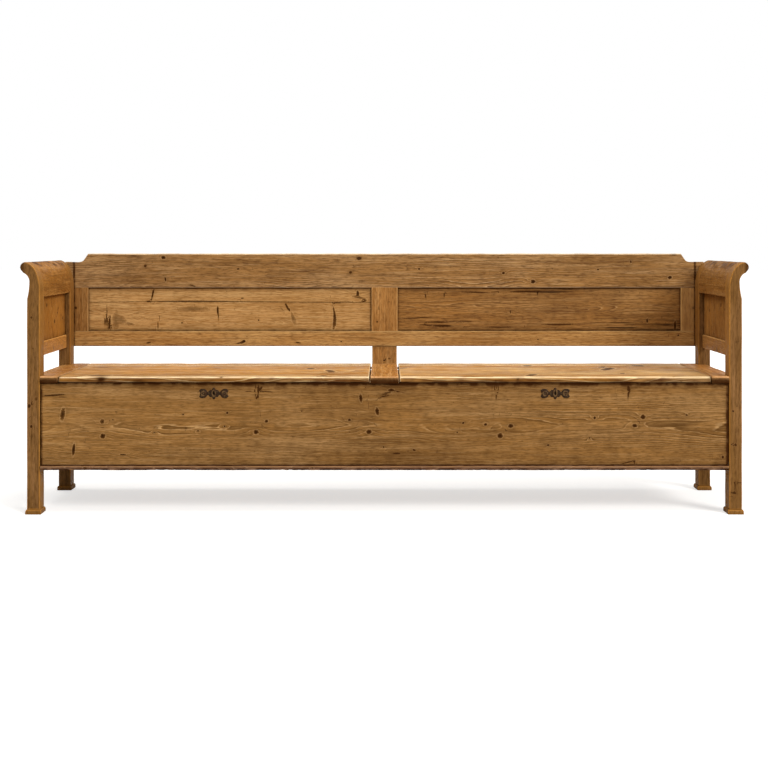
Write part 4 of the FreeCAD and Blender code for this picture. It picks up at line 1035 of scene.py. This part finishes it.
def make_foot(node, seed):
    """A square foot whose flared sides curve in to the post: the half width shrinks by a quarter circle."""
    low, high = (np.array(corner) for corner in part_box(node))
    middle = (low + high) / 2
    flare, start = 5 * MM, 7 * MM

    def flared(points):
        """The sides draw in by the quarter circle as they rise."""
        rise = np.clip((points[:, 2] - start) / (high[2] - start), 0, 1)
        shrink = flare * (1 - np.sqrt(1 - rise ** 2 * 0.98))
        moved = points.copy()
        for n in (0, 1):
            half = (high[n] - low[n]) / 2
            moved[:, n] = middle[n] + (points[:, n] - middle[n]) * (1 - shrink / half)
        return moved

    # The lowest few millimetres are darkened: dirt and painted shade where the foot stands on the floor.
    return make_board(node, TALL_FRONT, seed, PINE["post"], ring=3 * MM, step=4 * MM, radii=2 * MM,
                      bend=flared, soil=lambda points: 0.4 * np.exp(-points[:, 2] / (4 * MM)),
                      rub=evenly(0.3))


def make_inside():
    """Back board, bed sides, slats, ledgers, battens and what only shows with the bed pulled out."""
    make_board("back_board", LONG_FRONT, 90, PINE["inner"], ring=7 * MM, step=12 * MM,
               spots=chance_spots(91, 14, (-1.1, 1.1), (0.16, 0.42), 7 * MM))
    for side, way in SIDES:
        make_board(f"bed_side_{side}", DEEP_SIDE, 92 + way, PINE["inner"], step=12 * MM)
        make_boards(f"lid_battens_{side}", islands(f"lid_battens_{side}", 0), DEEP_TOP, 95 + way,
                    PINE["inner"], step=14 * MM)
    for number, node in enumerate(("slat_cleat", "slat_tie", "slat_bearer", "rear_slat_ledger")):
        make_board(node, LONG_FRONT, 100 + number, PINE["inner"], step=16 * MM)
    for node, seed in (("fixed_slats", 110), ("bed_slats", 210)):
        make_boards(node, islands(node, 0), DEEP_TOP, seed, PINE["inner"], step=18 * MM)


def dress_kept_nodes():
    """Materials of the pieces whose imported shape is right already."""
    looks = {"end_ledgers": INNER_Y, "centre_bearer": INNER_Y,
             "prop_leg_left": INNER_X, "prop_leg_right": INNER_X}
    for node, item in frame["nodes"].items():
        item.data.materials.clear()
        item.data.materials.append(looks.get(node, OLD_STEEL))


def seen_share(tree):
    """1 for what the camera sees itself, in a gloss or through glass, and 0 for the light a thing gets."""
    rays = add(tree, "LightPath")
    seen = add(tree, "Math", {0: rays["Is Camera Ray"], 1: rays["Is Glossy Ray"]}, operation="ADD")[0]
    return add(tree, "Math", {0: seen, 1: rays["Is Transmission Ray"]}, operation="ADD", use_clamp=True)[0]


def make_stage():
    """A pale floor that shows white away from the object's shadow, a white sky and soft studio light."""
    side = 40
    mesh = bpy.data.meshes.new("floor")
    corners = [(-side, -side, 0), (side, -side, 0), (side, side, 0), (-side, side, 0)]
    mesh.from_pydata(corners, [], [(0, 1, 2, 3)])
    floor = bpy.data.objects.new("floor", mesh)
    bpy.context.scene.collection.objects.link(floor)
    material, tree, surface = new_material("pale_floor")
    far = add(tree, "VectorMath", {0: add(tree, "TexCoord")["Object"]}, operation="LENGTH")["Value"]
    glow = add(tree, "MapRange", {
        "Value": far, "From Min": 1.5, "From Max": 3.6, "To Min": 0.62, "To Max": 1.0})[0]
    glow = add(tree, "Math", {0: seen_share(tree), 1: glow}, operation="MULTIPLY")[0]
    shader = add(tree, "BsdfPrincipled", {
        "Base Color": linear("D9D7D3"), "Roughness": 0.9, "Specular IOR Level": 0.0,
        "Emission Color": (1, 1, 1, 1), "Emission Strength": glow})[0]
    tree.links.new(shader, surface)
    mesh.materials.append(material)

    world = bpy.data.worlds.new("white_sky")
    bpy.context.scene.world = world
    world.use_nodes = True
    tree = world.node_tree
    tree.nodes.clear()
    strength = add(tree, "Mix", {0: seen_share(tree), 2: 0.30, 3: 1.0}, data_type="FLOAT")[0]
    sky = add(tree, "Background", {"Color": (1, 1, 1, 1), "Strength": strength})[0]
    output = tree.nodes.new("ShaderNodeOutputWorld")
    tree.links.new(sky, output.inputs["Surface"])

    for name, place, aim, size, power in (
            ("key_light", (7.8, -8.8, 7.0), (0, 0, 0.5), (4.8, 3.8), 1330),
            ("top_light", (-0.5, -0.3, 3.6), (0, 0, 0.4), (4.6, 1.4), 120)):
        lamp = bpy.data.lights.new(name, "AREA")
        lamp.shape = "RECTANGLE"
        lamp.size, lamp.size_y = size
        lamp.energy = power
        light = bpy.data.objects.new(name, lamp)
        light.location = place
        way = np.array(aim) - np.array(place)
        flat = math.hypot(way[0], way[1])
        light.rotation_euler = (math.atan2(flat, -way[2]), 0, math.atan2(way[1], way[0]) - math.pi / 2)
        bpy.context.scene.collection.objects.link(light)


def make_camera():
    """A level camera in front of the middle, moved down in its frame as the photograph is."""
    lens = bpy.data.cameras.new("camera")
    lens.lens = LENS
    lens.sensor_width = SENSOR
    lens.shift_x = (PHOTO_SIDE / 2 - AXIS_PX) / PHOTO_SIDE
    lens.shift_y = (HORIZON_PX - PHOTO_SIDE / 2) / PHOTO_SIDE
    camera = bpy.data.objects.new("camera", lens)
    camera.location = (0, -EYE_BACK, EYE_HIGH)
    camera.rotation_euler = (math.pi / 2, 0, 0)
    bpy.context.scene.collection.objects.link(camera)
    bpy.context.scene.camera = camera
    bpy.context.scene.view_settings.view_transform = "Standard"


make_camera()
make_stage()
dress_kept_nodes()
make_front()
make_escutcheons()
make_seat()
make_back()
make_ends()
make_inside()
